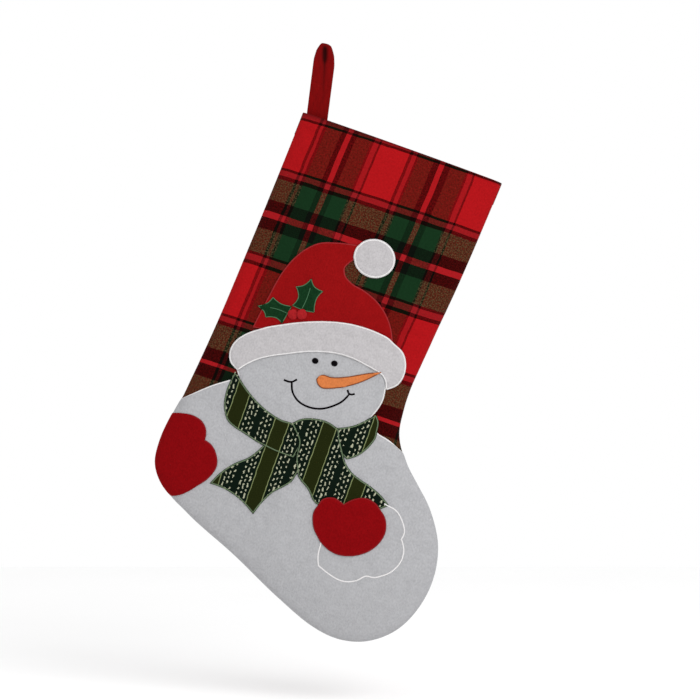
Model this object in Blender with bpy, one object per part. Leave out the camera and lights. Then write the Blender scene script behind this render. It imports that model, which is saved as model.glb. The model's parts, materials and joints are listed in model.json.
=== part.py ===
"""A padded Christmas stocking with a felt snowman on its front, hung from its corner by a ribbon loop.

The stocking is drawn in its own upright plane: u runs along the mouth, v runs down the leg, both in
millimetres from the mouth's corner above the heel. Local X is u, local Z is -v, and a layer's rise is
its distance from the seam plane, towards -Y on the front and +Y on the back. The whole stocking
hangs tilted, with its centre of mass under the loop, and the world origin is the inside top of the
loop, where a hook carries it.
"""
import math

import bmesh
import bpy
from mathutils import Vector
from mathutils.geometry import delaunay_2d_cdt

MM = 0.001
CORNER = "corner"

# How it hangs
TILT = math.radians(19.64)
HANG_UV = (0.4, -67.0)
FOLD_UV = (14.45, -2.5)

# Cloth, wadding and the gap that neighbouring pieces keep
GAP = 0.3
SHELL = 1.2
WADDING_EDGE = 3.1
WADDING_GROWTH = 1.4
WADDING_SPAN = 60.0
LINING = 0.8
FACING = 0.8
SEAM_RISES = (1.7, 0.75, 0.45, 0.15)

# Pillow profile: a rounded edge, then a slow rise to the middle
EDGE_ROLL = 12.0
EDGE_RISE = 8.0
BULGE = 8.5
BULGE_SPAN = 90.0
RIM = 3.5

# Mouth hem: the folded top edge, the rows that shape it, and the facing turned inside
FOLD_ROWS = (1.6, 1.9, 2.2)
FACING_DEPTH = 22.0
FACING_START = 28.0

# Mesh steps
SEAM_STEP = 18.0
LATTICE_STEP = 24.0
FINE_LATTICE_STEP = 21.0
MITTEN_STEP = 11.0
KEEP_OFF = 8.0

SEAM = [
    (1.5, 0, CORNER), (-5, 150), (-8.5, 212), (-16, 292), (-21.3, 335), (-17.8, 358), (-6, 373),
    (20, 388), (80, 413), (140, 440), (172, 451.5), (197, 454.5), (222, 448.5), (247, 428),
    (259.5, 401), (263, 370), (256, 339), (235, 308), (204, 279), (188.5, 256), (184.3, 232),
    (187, 170), (192.5, 110), (199.3, 0, CORNER),
]
BODY_TOP = [
    (-24, 300, CORNER), (-8.3, 285), (8, 270), (24, 258.5), (60, 240), (100, 231), (140, 238),
    (167.5, 260.5), (180, 263.3), (204, 273, CORNER),
]
HAT_CROWN = [
    (25, 206, CORNER), (29.5, 172), (33.5, 149), (42, 128), (56, 112), (72, 105.5), (93, 101, CORNER),
    (97, 110, CORNER), (90, 119), (87.3, 125), (90, 131.5), (98, 136.3), (112, 139.2), (126, 144.5),
    (139, 154), (148, 165.5), (153, 176, CORNER), (100, 185), (60, 200),
]
HAT_BRIM = [
    (25, 249, CORNER), (16, 243.5), (12, 233), (14, 223.5), (28, 208), (48, 195.5), (74, 183),
    (100, 174.5), (125, 171.3), (150, 174), (166, 182), (173, 196), (171, 211), (162, 219.5, CORNER),
    (158.5, 212), (151, 206.7), (136, 204), (120, 202.3), (106, 203.3), (86, 208.7), (62, 219.8),
    (42, 231), (32, 240),
]
HAT_POMPOM_CENTRE = (110.5, 107.5)
HAT_POMPOM_RADII = (19.5, 18.0)
FACE = [
    (22, 245, CORNER), (40, 268), (60, 282), (85, 288), (108, 276), (134, 276), (150, 262),
    (160.5, 240), (162.5, 230), (160, 208, CORNER), (130, 196), (90, 203), (55, 219),
]
SCARF_COLLAR_LEFT = [
    (23.5, 250.5, CORNER), (32, 257), (42, 264), (53, 270.2), (66, 275.4), (79, 278.2), (92, 278.5, CORNER),
    (101, 284), (104, 296), (102, 308, CORNER), (86, 308), (70, 306.5), (50, 302), (32, 296), (25, 286),
    (21.6, 270), (22, 258),
]
SCARF_COLLAR_RIGHT = [
    (130, 268.5, CORNER), (145, 260.5), (154, 252), (161, 244.3, CORNER), (165.5, 249.5), (168, 262),
    (165, 275), (157.5, 286.5), (149, 293, CORNER), (136, 286),
]
SCARF_TAIL_LEFT = [
    (72, 305, CORNER), (104, 303, CORNER), (110.5, 318), (107.5, 330), (95, 344.5), (88, 358),
    (84, 370.5, CORNER), (66, 361), (50, 357.2), (36, 357, CORNER), (41.5, 345), (52, 331), (62, 322),
]
SCARF_KNOT = [
    (89.5, 278.3, CORNER), (97, 271), (108, 266.8), (122, 265.8), (132, 268.5), (138, 279), (147, 293.3),
    (158, 302.8), (176, 308.3), (190, 313.5), (201, 320.3, CORNER), (190, 330), (160, 340),
    (137.5, 341.5, CORNER), (124, 331), (110.5, 321), (104, 307), (100.5, 290),
]
MITTEN_LEFT = [
    (-30, 312, CORNER), (-18, 307.5), (-9, 304.2), (1, 302.9), (10, 305.2), (16, 311.5), (18, 320.5, CORNER),
    (25, 322.4), (32.5, 329.3), (36.5, 339), (33.5, 351.5), (24, 364.5), (13, 375.5), (3, 381),
    (-12, 396, CORNER), (-42, 372, CORNER),
]
MITTEN_RIGHT = [
    (160.5, 333.2, CORNER), (166, 327), (178, 321), (190, 323.3), (200.5, 331.5), (206, 346), (201, 362),
    (187, 374.5), (169, 379.3), (152, 373.7), (141, 362.5), (136.6, 348), (140, 336), (149, 330.6),
]
SNOWBALL = [
    (196, 320, CORNER), (208, 322.3), (217, 329.5), (223, 340.5, CORNER), (222.3, 346), (227.5, 354),
    (228.7, 366), (222, 379.5), (209, 388.5, CORNER), (203.5, 389), (195, 396.7), (184, 401),
    (168, 398.7), (157.5, 395), (154, 386), (152.5, 372, CORNER),
]
SNOWBALL_STITCH = 1.5
HOLLY_LEAF_UPPER = [
    (61.3, 144.5, CORNER), (67, 151), (76, 152.3, CORNER), (72.6, 160.5), (74.8, 174, CORNER), (66, 175.5),
    (52.6, 174.6, CORNER), (55.6, 166), (50, 156.7, CORNER), (57, 152.5),
]
HOLLY_LEAF_SIDE = [
    (22, 185.6, CORNER), (29.5, 180.5), (33.2, 173, CORNER), (42, 176.2), (53, 175.2, CORNER),
    (51.4, 184.5), (49.7, 193.8, CORNER), (42.5, 190.8), (33, 193.5, CORNER), (29.3, 188.5),
]
BERRY_CENTRES = {"holly_berry_left": (56.3, 182.2), "holly_berry_right": (64.2, 179.3)}
BERRY_RADIUS = 5.0
EYE_CENTRES = {"eye_left": (90.5, 216.0), "eye_right": (108.2, 212.3)}
EYE_RADII = (3.1, 2.75)
CARROT_NOSE = [
    (97.2, 231.7), (100.6, 226.4), (110, 225.3), (125, 219.2), (140, 210.8), (152.5, 205.2, CORNER),
    (142, 216.5), (128, 227.6), (114, 235), (103.3, 237.5),
]
SMILE = [
    (76.5, 241.5, CORNER), (80.5, 250.5), (88, 256.5), (98.5, 258.6), (110, 256.5), (119.5, 250.7),
    (127, 243), (131, 234.5, CORNER),
]
SMILE_TICKS = (
    [(69, 242.5, CORNER), (77, 241.5), (80.3, 238, CORNER)],
    [(128, 231.3, CORNER), (131, 234.5), (135.7, 232.8, CORNER)],
)
SMILE_THREAD = 1.5

# Ribbon loop
LEAN = math.tan(math.radians(12.3))
RIBBON_HALF_WIDTH = 10.25
RIBBON_TOP_HALF_WIDTH = 6.0
RIBBON_PLY = 1.6
HOOK_RADIUS = 4.2
WIDTH_TAPER = 9.0
LEG_SPREAD_END = 56.0
LEG_ROOT_RISE = 1.1
PIVOT_CUT = 14.0
PIVOT_CLEARANCE = 0.4
ROOT_RADIUS = 1.9
COLUMNS = 6
TAIL_TOP = -0.3
TAIL_BOTTOM = 17.0
TAIL_RISE = 1.5
TAIL_INSET = 1.4
BARTACK_V = 9.0
BARTACK_HEIGHT = 3.0
BARTACK_RISE = 0.7

# Linear colours
TARTAN_RED = (0.33, 0.01, 0.012)
FELT_RED = (0.27, 0.006, 0.008)
MITTEN_RED = (0.21, 0.003, 0.006)
RIBBON_RED = (0.18, 0.004, 0.006)
SNOW_WHITE = (0.55, 0.54, 0.56)
STITCH_WHITE = (0.85, 0.84, 0.84)
LINING_WHITE = (0.62, 0.6, 0.56)
WADDING_WHITE = (0.8, 0.8, 0.78)
SCARF_GREEN = (0.02, 0.028, 0.012)
HOLLY_GREEN = (0.012, 0.06, 0.022)
BERRY_RED = (0.5, 0.012, 0.018)
CARROT_ORANGE = (0.78, 0.22, 0.055)
THREAD_BLACK = (0.008, 0.008, 0.01)


def clear_scene():
    for item in list(bpy.data.objects):
        bpy.data.objects.remove(item, do_unlink=True)


def material(name, colour, roughness):
    """A cloth finish: one Principled BSDF with the given colour and roughness."""
    made = bpy.data.materials.get(name) or bpy.data.materials.new(name)
    made.use_nodes = True
    shader = made.node_tree.nodes["Principled BSDF"]
    shader.inputs["Base Color"].default_value = (*colour, 1.0)
    shader.inputs["Roughness"].default_value = roughness
    shader.inputs["Metallic"].default_value = 0.0
    return made


def empty(name, location, parent=None, tilt=0.0):
    """An axis or a corner that pieces hang on."""
    made = bpy.data.objects.new(name, None)
    made.location = location
    made.rotation_euler = (0.0, tilt, 0.0)
    made.parent = parent
    bpy.context.collection.objects.link(made)
    return made


def add_object(name, mesh_builder, parent, finish):
    """Turns a bmesh into a named object with outward faces."""
    bmesh.ops.recalc_face_normals(mesh_builder, faces=mesh_builder.faces[:])
    mesh = bpy.data.meshes.new(name)
    mesh_builder.to_mesh(mesh)
    mesh_builder.free()
    mesh.materials.append(finish)
    made = bpy.data.objects.new(name, mesh)
    made.parent = parent
    bpy.context.collection.objects.link(made)
    return made


# Curves in the (u, v) plane


def tangents(points, closed):
    """Unit-speed tangent on each side of every point; a corner has two different ones."""
    places = [Vector(p[:2]) for p in points]
    count = len(places)
    before = [None] * count
    after = [None] * count
    for i in range(count):
        is_end = not closed and i in (0, count - 1)
        if len(points[i]) > 2 or is_end:
            continue
        back = places[i] - places[i - 1]
        ahead = places[(i + 1) % count] - places[i]
        blend = back / back.length * ahead.length + ahead / ahead.length * back.length
        before[i] = after[i] = blend / (back.length + ahead.length)
    spans = count if closed else count - 1
    for i in range(spans):
        j = (i + 1) % count
        chord = places[j] - places[i]
        chord /= chord.length
        smooth_end = before[j] is not None and len(points[j]) == 2
        if after[i] is None:
            after[i] = chord * 1.5 - before[j] * 0.5 if smooth_end else chord
        if before[j] is None:
            before[j] = chord * 1.5 - after[i] * 0.5 if len(points[i]) == 2 else chord
    return places, before, after


def curve(points, step, closed=True):
    """Points along a smooth curve through the given ones, sharp at each one marked CORNER."""
    places, before, after = tangents(points, closed)
    count = len(places)
    spans = count if closed else count - 1
    samples = []
    for i in range(spans):
        j = (i + 1) % count
        chord = (places[j] - places[i]).length
        start, end = after[i] * chord, before[j] * chord
        turn = start.angle(end, 0.0)
        pieces = max(1, round(chord / step), math.ceil(turn / math.radians(50)))
        for k in range(pieces):
            t = k / pieces
            samples.append(
                places[i] * (2 * t**3 - 3 * t**2 + 1) + start * (t**3 - 2 * t**2 + t)
                + places[j] * (3 * t**2 - 2 * t**3) + end * (t**3 - t**2)
            )
    if not closed:
        samples.append(places[-1])
    return samples


def ellipse(centre, radii, count):
    turns = [math.tau * k / count for k in range(count)]
    return [Vector((centre[0] + radii[0] * math.cos(a), centre[1] + radii[1] * math.sin(a))) for a in turns]


def stitch_band(points, step, width):
    """The outline of a line of stitches: a narrow band along an open curve."""
    path = curve(points, step, closed=False)
    sides = []
    for i, place in enumerate(path):
        along = (path[min(i + 1, len(path) - 1)] - path[max(i - 1, 0)]).normalized()
        sides.append(Vector((-along.y, along.x)) * width / 2)
    return [p + s for p, s in zip(path, sides)] + [p - s for p, s in reversed(list(zip(path, sides)))]


def inside(outline, place):
    """True where a place lies in a closed outline."""
    hit = False
    for a, b in zip(outline, outline[1:] + outline[:1]):
        if (a.y > place.y) != (b.y > place.y):
            if place.x < (b.x - a.x) * (place.y - a.y) / (b.y - a.y) + a.x:
                hit = not hit
    return hit


def distance(path, place):
    """Shortest distance from a place to an open path."""
    best = math.inf
    for a, b in zip(path, path[1:]):
        run = b - a
        t = min(1.0, max(0.0, (place - a).dot(run) / run.length_squared))
        best = min(best, (a + run * t - place).length)
    return best


def inset(path, amount):
    """The seam moved inwards, so that its ends stay on the mouth."""
    moved = []
    for i, place in enumerate(path):
        along = (path[min(i + 1, len(path) - 1)] - path[max(i - 1, 0)]).normalized()
        moved.append(place + Vector((along.y, -along.x)) * amount)
    moved[0].y = moved[-1].y = 0.0
    return moved


# The pillow


class Lattice:
    """A triangulated sheet whose edges follow every line that it is given."""

    def __init__(self, seam, chains, step):
        self.seam = seam
        self.corners = []
        self.edges = []
        for path, closed in chains:
            first = len(self.corners)
            self.corners.extend(path)
            last = len(self.corners) - 1
            self.edges.extend((i, i + 1) for i in range(first, last))
            if closed:
                self.edges.append((last, first))
        self.fill(step)
        self.places, _, self.triangles = delaunay_2d_cdt(self.corners, self.edges, [], 0, 1e-4)[:3]
        self.depth = [distance(seam, place) for place in self.places]
        self.triangles = [t for t in self.triangles if inside(seam, self.centre(t))]

    def fill(self, step):
        """Adds free points on a triangular grid, clear of the lines."""
        lines = self.corners[:]
        row_height = step * math.sqrt(0.75)
        for row in range(1, math.ceil(460 / row_height)):
            for column in range(-2, math.ceil(280 / step)):
                place = Vector((step * (column + 0.5 * (row % 2)), row * row_height))
                if not inside(self.seam, place) or distance(self.seam, place) < RIM + KEEP_OFF:
                    continue
                if min((place - other).length for other in lines) > KEEP_OFF:
                    self.corners.append(place)

    def centre(self, triangle):
        return sum((self.places[i] for i in triangle), Vector((0.0, 0.0))) / 3

    def region(self, *outlines):
        return [t for t in self.triangles if any(inside(o, self.centre(t)) for o in outlines)]


def pillow_rise(depth):
    """Rise of the outer cloth at a distance from the seam."""
    roll = min(1.0, depth / EDGE_ROLL)
    bulge = math.sin(math.pi / 2 * min(1.0, depth / BULGE_SPAN))
    return SEAM_RISES[0] + EDGE_RISE * math.sqrt(1 - (1 - roll) ** 2) + BULGE * bulge


def wall_rises(depth, in_fold):
    """Outer and inner rise of the shell, the wadding and the lining at a distance from the seam."""
    outer = pillow_rise(depth)
    if depth < RIM / 2:
        shell_out, shell_in, lining_out, lining_in = SEAM_RISES
        wadding = (shell_in, lining_out)
    else:
        shell_out, shell_in = outer, outer - SHELL
        wadding_out = shell_in - GAP
        wadding_in = wadding_out - WADDING_EDGE - WADDING_GROWTH * min(1.0, depth / WADDING_SPAN)
        wadding = (wadding_out, wadding_in)
        lining_out = wadding_in - GAP
        lining_in = lining_out - LINING
    if in_fold:
        shell_in = lining_in
    return {"shell": (shell_out, shell_in), "wadding": wadding, "lining": (lining_out, lining_in)}


def slab(name, lattice, triangles, highs, lows, side, parent, finish):
    """A closed layer of cloth over some triangles of a lattice, between two rises."""
    build = bmesh.new()
    used = sorted({i for t in triangles for i in t})
    faces = {}
    for key, rises in (("high", highs), ("low", lows)):
        for i in used:
            place = lattice.places[i]
            point = Vector((place.x, side * rises[i], -place.y)) * MM
            faces[key, i] = build.verts.new(point)
    borders = {}
    for t in triangles:
        build.faces.new([faces["high", i] for i in t])
        build.faces.new([faces["low", i] for i in reversed(t)])
        for edge in zip(t, (*t[1:], t[0])):
            key = frozenset(edge)
            borders[key] = None if key in borders else edge
    for edge in filter(None, borders.values()):
        a, b = edge
        build.faces.new((faces["high", b], faces["high", a], faces["low", a], faces["low", b]))
    return add_object(name, build, parent, finish)


def bag_lattice(seam):
    """The lattice that the bag's layers share with the snow and the mitten that meet its seam."""
    rim = inset(seam, RIM)
    steps = range(-1, math.ceil(210 / LATTICE_STEP) + 1)
    rows = [[Vector((k * LATTICE_STEP, v)) for k in steps] for v in (*FOLD_ROWS, FACING_DEPTH)]
    facing_end = [Vector((FACING_START, FOLD_ROWS[-1])), Vector((FACING_START, FACING_DEPTH))]
    mouth_steps = range(1, math.ceil(190 / LATTICE_STEP))
    mouth = [seam[0]] + [Vector((k * LATTICE_STEP, 0.0)) for k in mouth_steps] + [seam[-1]]
    chains = [(seam, False), (rim, False), (mouth, False), (facing_end, False)]
    chains += [(row, False) for row in rows]
    chains.append((curve(BODY_TOP, SEAM_STEP, closed=False), False))
    chains.append((curve(MITTEN_LEFT, MITTEN_STEP), True))
    return Lattice(seam, chains, LATTICE_STEP)


def bag_layers(lattice, side, word, corner):
    """Shell, wadding, lining and hem facing of the front (side -1) or the back (side 1)."""
    in_fold = [place.y < FOLD_ROWS[0] + 0.01 for place in lattice.places]
    rises = [wall_rises(d, f) for d, f in zip(lattice.depth, in_fold)]
    below_fold = [t for t in lattice.triangles if min(lattice.places[i].y for i in t) > FOLD_ROWS[-1] - 0.01]
    padded = [t for t in below_fold if min(lattice.depth[i] for i in t) > RIM / 2]
    facing = [
        t for t in padded
        if lattice.centre(t).y < FACING_DEPTH and lattice.centre(t).x > FACING_START
    ]
    layers = {
        f"{word}_panel": ("shell", lattice.triangles, material("tartan", TARTAN_RED, 0.9)),
        f"{word}_wadding": ("wadding", padded, material("wadding", WADDING_WHITE, 1.0)),
        f"{word}_lining": ("lining", below_fold, material("lining", LINING_WHITE, 0.85)),
    }
    for name, (layer, triangles, finish) in layers.items():
        highs = [r[layer][0] for r in rises]
        lows = [r[layer][1] for r in rises]
        slab(name, lattice, triangles, highs, lows, side, corner, finish)
    highs = [r["lining"][1] - GAP for r in rises]
    lows = [high - FACING for high in highs]
    name = f"{word}_hem_facing"
    slab(name, lattice, facing, highs, lows, side, corner, material("tartan", TARTAN_RED, 0.9))


# Felt and cloth shapes sewn on the front

FELT = {"snowman_body": 1.5, "hat_crown": 1.2, "face": 1.4, "hat_pompom": 2.4, "scarf": 1.0, "hat_brim": 1.8}
FELT.update({"mitten": 1.5, "stitches": 0.7, "leaf": 0.9, "berry": 1.6, "eye": 0.8, "carrot": 1.3})


def body_thickness(depth):
    """The snow felt thins where it is turned into the seam."""
    return FELT["snowman_body"] * min(1.0, 0.4 + 0.6 * depth / RIM)


def snow_outline():
    """Everything of the stocking below the top edge of the snow."""
    far_corners = [Vector((320, 273)), Vector((320, 500)), Vector((-70, 500)), Vector((-70, 300))]
    return curve(BODY_TOP, SEAM_STEP, closed=False) + far_corners


def shapes_in_seam(lattice, corner):
    """The snow and the mitten over the heel, which are both caught in the seam."""
    rises = [pillow_rise(d) for d in lattice.depth]
    snow = lattice.region(snow_outline())
    highs, lows = lay(rises, snow, lambda i: body_thickness(lattice.depth[i]))
    slab("snowman_body", lattice, snow, highs, lows, -1, corner, material("snow_felt", SNOW_WHITE, 0.95))
    mitten = lattice.region(curve(MITTEN_LEFT, MITTEN_STEP))
    highs, lows = lay(rises, mitten, FELT["mitten"])
    slab("mitten_left", lattice, mitten, highs, lows, -1, corner, material("mitten_felt", MITTEN_RED, 0.95))


def shape_outlines():
    """Each sewn shape's outlines, thickness and finish, from the lowest to the highest."""
    felt_red = material("hat_felt", FELT_RED, 0.95)
    snow = material("snow_felt", SNOW_WHITE, 0.95)
    scarf = material("scarf_cloth", SCARF_GREEN, 0.9)
    mitten = material("mitten_felt", MITTEN_RED, 0.95)
    leaf = material("holly_felt", HOLLY_GREEN, 0.9)
    berry = material("berry_felt", BERRY_RED, 0.8)
    black = material("black_thread", THREAD_BLACK, 0.5)
    smile = [stitch_band(SMILE, 9, SMILE_THREAD)] + [stitch_band(t, 9, SMILE_THREAD) for t in SMILE_TICKS]
    white = material("white_stitches", STITCH_WHITE, 0.45)
    orange = material("carrot_felt", CARROT_ORANGE, 0.8)
    pompom = ellipse(HAT_POMPOM_CENTRE, HAT_POMPOM_RADII, 18)
    shapes = [
        ("hat_crown", [curve(HAT_CROWN, 12)], FELT["hat_crown"], felt_red),
        ("face", [curve(FACE, 16)], FELT["face"], snow),
        ("hat_pompom", [pompom], FELT["hat_pompom"], snow),
        ("scarf_tail_left", [curve(SCARF_TAIL_LEFT, 10)], FELT["scarf"], scarf),
        ("scarf_collar_left", [curve(SCARF_COLLAR_LEFT, 12)], FELT["scarf"], scarf),
        ("scarf_collar_right", [curve(SCARF_COLLAR_RIGHT, 10)], FELT["scarf"], scarf),
        ("hat_brim", [curve(HAT_BRIM, 13)], FELT["hat_brim"], snow),
        ("scarf_knot_tail", [curve(SCARF_KNOT, 12)], FELT["scarf"], scarf),
        ("snowball_stitching", [stitch_band(SNOWBALL, 10, SNOWBALL_STITCH)], FELT["stitches"], white),
        ("mitten_right", [curve(MITTEN_RIGHT, MITTEN_STEP)], FELT["mitten"], mitten),
        ("holly_leaf_upper", [curve(HOLLY_LEAF_UPPER, 6)], FELT["leaf"], leaf),
        ("holly_leaf_side", [curve(HOLLY_LEAF_SIDE, 6)], FELT["leaf"], leaf),
        ("carrot_nose", [curve(CARROT_NOSE, 10)], FELT["carrot"], orange),
        ("smile", smile, FELT["stitches"], black),
    ]
    for name, centre in BERRY_CENTRES.items():
        shapes.append((name, [ellipse(centre, (BERRY_RADIUS, BERRY_RADIUS), 10)], FELT["berry"], berry))
    for name, centre in EYE_CENTRES.items():
        shapes.append((name, [ellipse(centre, EYE_RADII, 8)], FELT["eye"], black))
    return shapes


def lay(rises, triangles, thickness):
    """Lays a layer on whatever is under it, and returns its two faces' rises."""
    lows = rises[:]
    highs = rises[:]
    for i in {i for t in triangles for i in t}:
        lows[i] = rises[i] + GAP
        highs[i] = lows[i] + (thickness(i) if callable(thickness) else thickness)
        rises[i] = highs[i]
    return highs, lows


def sewn_shapes(seam, corner):
    """The snowman: every shape drapes over the ones below it."""
    shapes = shape_outlines()
    chains = [(seam, False), (curve(BODY_TOP, SEAM_STEP, closed=False), False)]
    chains += [(outline, True) for _, outlines, _, _ in shapes for outline in outlines]
    lattice = Lattice(seam, chains, FINE_LATTICE_STEP)
    rises = [pillow_rise(d) for d in lattice.depth]
    lay(rises, lattice.region(snow_outline()), lambda i: body_thickness(lattice.depth[i]))
    for name, outlines, thickness, finish in shapes:
        region = lattice.region(*outlines)
        highs, lows = lay(rises, region, thickness)
        slab(name, lattice, region, highs, lows, -1, corner, finish)


# The ribbon loop


def ribbon_half_width(drop):
    """Half of the ribbon's width at a drop below the hook; it bunches where it goes over."""
    if drop >= WIDTH_TAPER:
        return RIBBON_HALF_WIDTH
    reach = (WIDTH_TAPER - drop) / (WIDTH_TAPER + RIBBON_PLY)
    growth = RIBBON_HALF_WIDTH - RIBBON_TOP_HALF_WIDTH
    return RIBBON_TOP_HALF_WIDTH + growth * math.sqrt(max(0.0, 1 - reach**2))


def leg_rise(drop):
    """Distance of a leg's middle from the loop's mid-plane; the legs close towards the mouth."""
    top = HOOK_RADIUS + RIBBON_PLY / 2
    share = min(1.0, max(0.0, (drop - WIDTH_TAPER) / (LEG_SPREAD_END - WIDTH_TAPER)))
    return top + (LEG_ROOT_RISE - top) * share


def pivot_drop(across, radius):
    """Drop at which a line down the ribbon leaves the circle round the hook."""
    squeeze = 1 + LEAN**2
    root = (across * LEAN) ** 2 - squeeze * (across**2 - radius**2)
    return (math.sqrt(root) - across * LEAN) / squeeze


def ribbon_solid(name, profile, parent, finish):
    """Sweeps a profile of (rise, drop) across the ribbon's width; profile(share) gives one section."""
    build = bmesh.new()
    columns = []
    for c in range(COLUMNS + 1):
        share = 2 * c / COLUMNS - 1
        column = []
        for rise, drop in profile(share * RIBBON_HALF_WIDTH):
            across = share * ribbon_half_width(drop) + drop * LEAN
            column.append(build.verts.new(Vector((across, rise, -drop)) * MM))
        columns.append(column)
    for near, far in zip(columns, columns[1:]):
        for i in range(len(near)):
            j = (i + 1) % len(near)
            build.faces.new((near[i], near[j], far[j], far[i]))
    build.faces.new(columns[0])
    build.faces.new(columns[-1])
    return add_object(name, build, parent, finish)


def hook_arc(radius):
    """Half a circle over the hook, as (rise, drop)."""
    turns = [math.pi * k / 12 for k in range(13)]
    return [(-radius * math.cos(turn), HOOK_RADIUS - radius * math.sin(turn)) for turn in turns]


def bight_profile(across):
    """The ribbon over the hook, down to the pivot circle on both sides."""
    end = pivot_drop(across, PIVOT_CUT)
    outer = hook_arc(HOOK_RADIUS + RIBBON_PLY)
    inner = hook_arc(HOOK_RADIUS)
    leg = leg_rise(end)
    foot = RIBBON_PLY / 2
    return (
        [(-leg - foot, end)] + outer + [(leg + foot, end), (leg - foot, end)]
        + inner[::-1] + [(-leg + foot, end)]
    )


def legs_profile(across):
    """The two legs from the pivot circle to the fold, where they are sewn into one."""
    start = pivot_drop(across, PIVOT_CUT + PIVOT_CLEARANCE)
    bottom = FOLD_UV[1] - HANG_UV[1]
    drops = [start + (LEG_SPREAD_END - start) * k / 5 for k in range(6)]
    foot = RIBBON_PLY / 2
    outer = [(leg_rise(d) + foot, d) for d in drops] + [(ROOT_RADIUS, LEG_SPREAD_END + 3.0)]
    inner = [(leg_rise(d) - foot, d) for d in drops]
    arc = [math.pi * k / 6 for k in range(7)]
    end = [(ROOT_RADIUS * math.cos(a), bottom + ROOT_RADIUS * math.sin(a)) for a in arc]
    right = outer + end
    left = [(-rise, drop) for rise, drop in reversed(outer)]
    return right + left + [(-rise, drop) for rise, drop in inner] + inner[::-1]


def loop_tail(corner, finish):
    """The loop's sewn end, inside the mouth between the two linings."""
    build = bmesh.new()
    rows = []
    for v in (TAIL_TOP, TAIL_BOTTOM):
        middle = FOLD_UV[0] + (v - FOLD_UV[1]) * LEAN
        left = middle - RIBBON_HALF_WIDTH + TAIL_INSET
        right = middle + RIBBON_HALF_WIDTH
        ring = [(left, -1), (right, -1), (right, 1), (left, 1)]
        rows.append([build.verts.new(Vector((u, y * TAIL_RISE, -v)) * MM) for u, y in ring])
    for i in range(4):
        j = (i + 1) % 4
        build.faces.new((rows[0][i], rows[0][j], rows[1][j], rows[1][i]))
    build.faces.new(rows[0])
    build.faces.new(rows[1])
    add_object("loop_tail", build, corner, finish)


def loop_bartack(corner, finish):
    """The bar of stitches that holds the loop's end, on the face towards the front."""
    build = bmesh.new()
    middle = FOLD_UV[0] + (BARTACK_V - FOLD_UV[1]) * LEAN
    half = RIBBON_HALF_WIDTH - 3.0
    back = -TAIL_RISE - GAP
    section = [(back, 0.0), (back, BARTACK_HEIGHT)]
    section += [(back - BARTACK_RISE, BARTACK_HEIGHT * 0.8), (back - BARTACK_RISE, BARTACK_HEIGHT * 0.2)]
    ends = []
    for u in (middle - half + TAIL_INSET * 2, middle + half):
        ends.append([build.verts.new(Vector((u, y, -BARTACK_V - drop)) * MM) for y, drop in section])
    for i in range(4):
        j = (i + 1) % 4
        build.faces.new((ends[0][i], ends[0][j], ends[1][j], ends[1][i]))
    build.faces.new(ends[0])
    build.faces.new(ends[1])
    add_object("loop_bartack", build, corner, finish)


def local(uv, origin=(0.0, 0.0)):
    """A place of the (u, v) plane as a location, from another place."""
    return Vector((uv[0] - origin[0], 0.0, origin[1] - uv[1])) * MM


def main():
    clear_scene()
    hook = empty("hook_axis", (0.0, 0.0, 0.0), tilt=TILT)
    fold = empty("fold_axis", local(FOLD_UV, HANG_UV), parent=hook)
    corner = empty("mouth_corner", local((0.0, 0.0), FOLD_UV), parent=fold)
    ribbon = material("ribbon", RIBBON_RED, 0.8)
    ribbon_solid("loop_bight", bight_profile, hook, ribbon)
    ribbon_solid("loop_legs", legs_profile, hook, ribbon)
    loop_tail(corner, ribbon)
    loop_bartack(corner, material("ribbon_thread", RIBBON_RED, 0.5))
    seam = curve(SEAM, SEAM_STEP, closed=False)
    lattice = bag_lattice(seam)
    bag_layers(lattice, -1, "front", corner)
    bag_layers(lattice, 1, "back", corner)
    shapes_in_seam(lattice, corner)
    sewn_shapes(seam, corner)


main()
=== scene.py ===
"""The look of a padded Christmas stocking with a felt snowman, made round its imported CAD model.

Cloth pieces are drawn in the stocking's own plane, in millimetres: u runs along the mouth, v runs
down the leg, and the rise is the distance from the seam plane. They take their outlines from the
CAD model, and move into its frame when their mesh is made.
"""

import json
import math

import bmesh
import bpy
import numpy as np
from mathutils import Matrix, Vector
from mathutils.bvhtree import BVHTree
from mathutils.geometry import delaunay_2d_cdt


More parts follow.
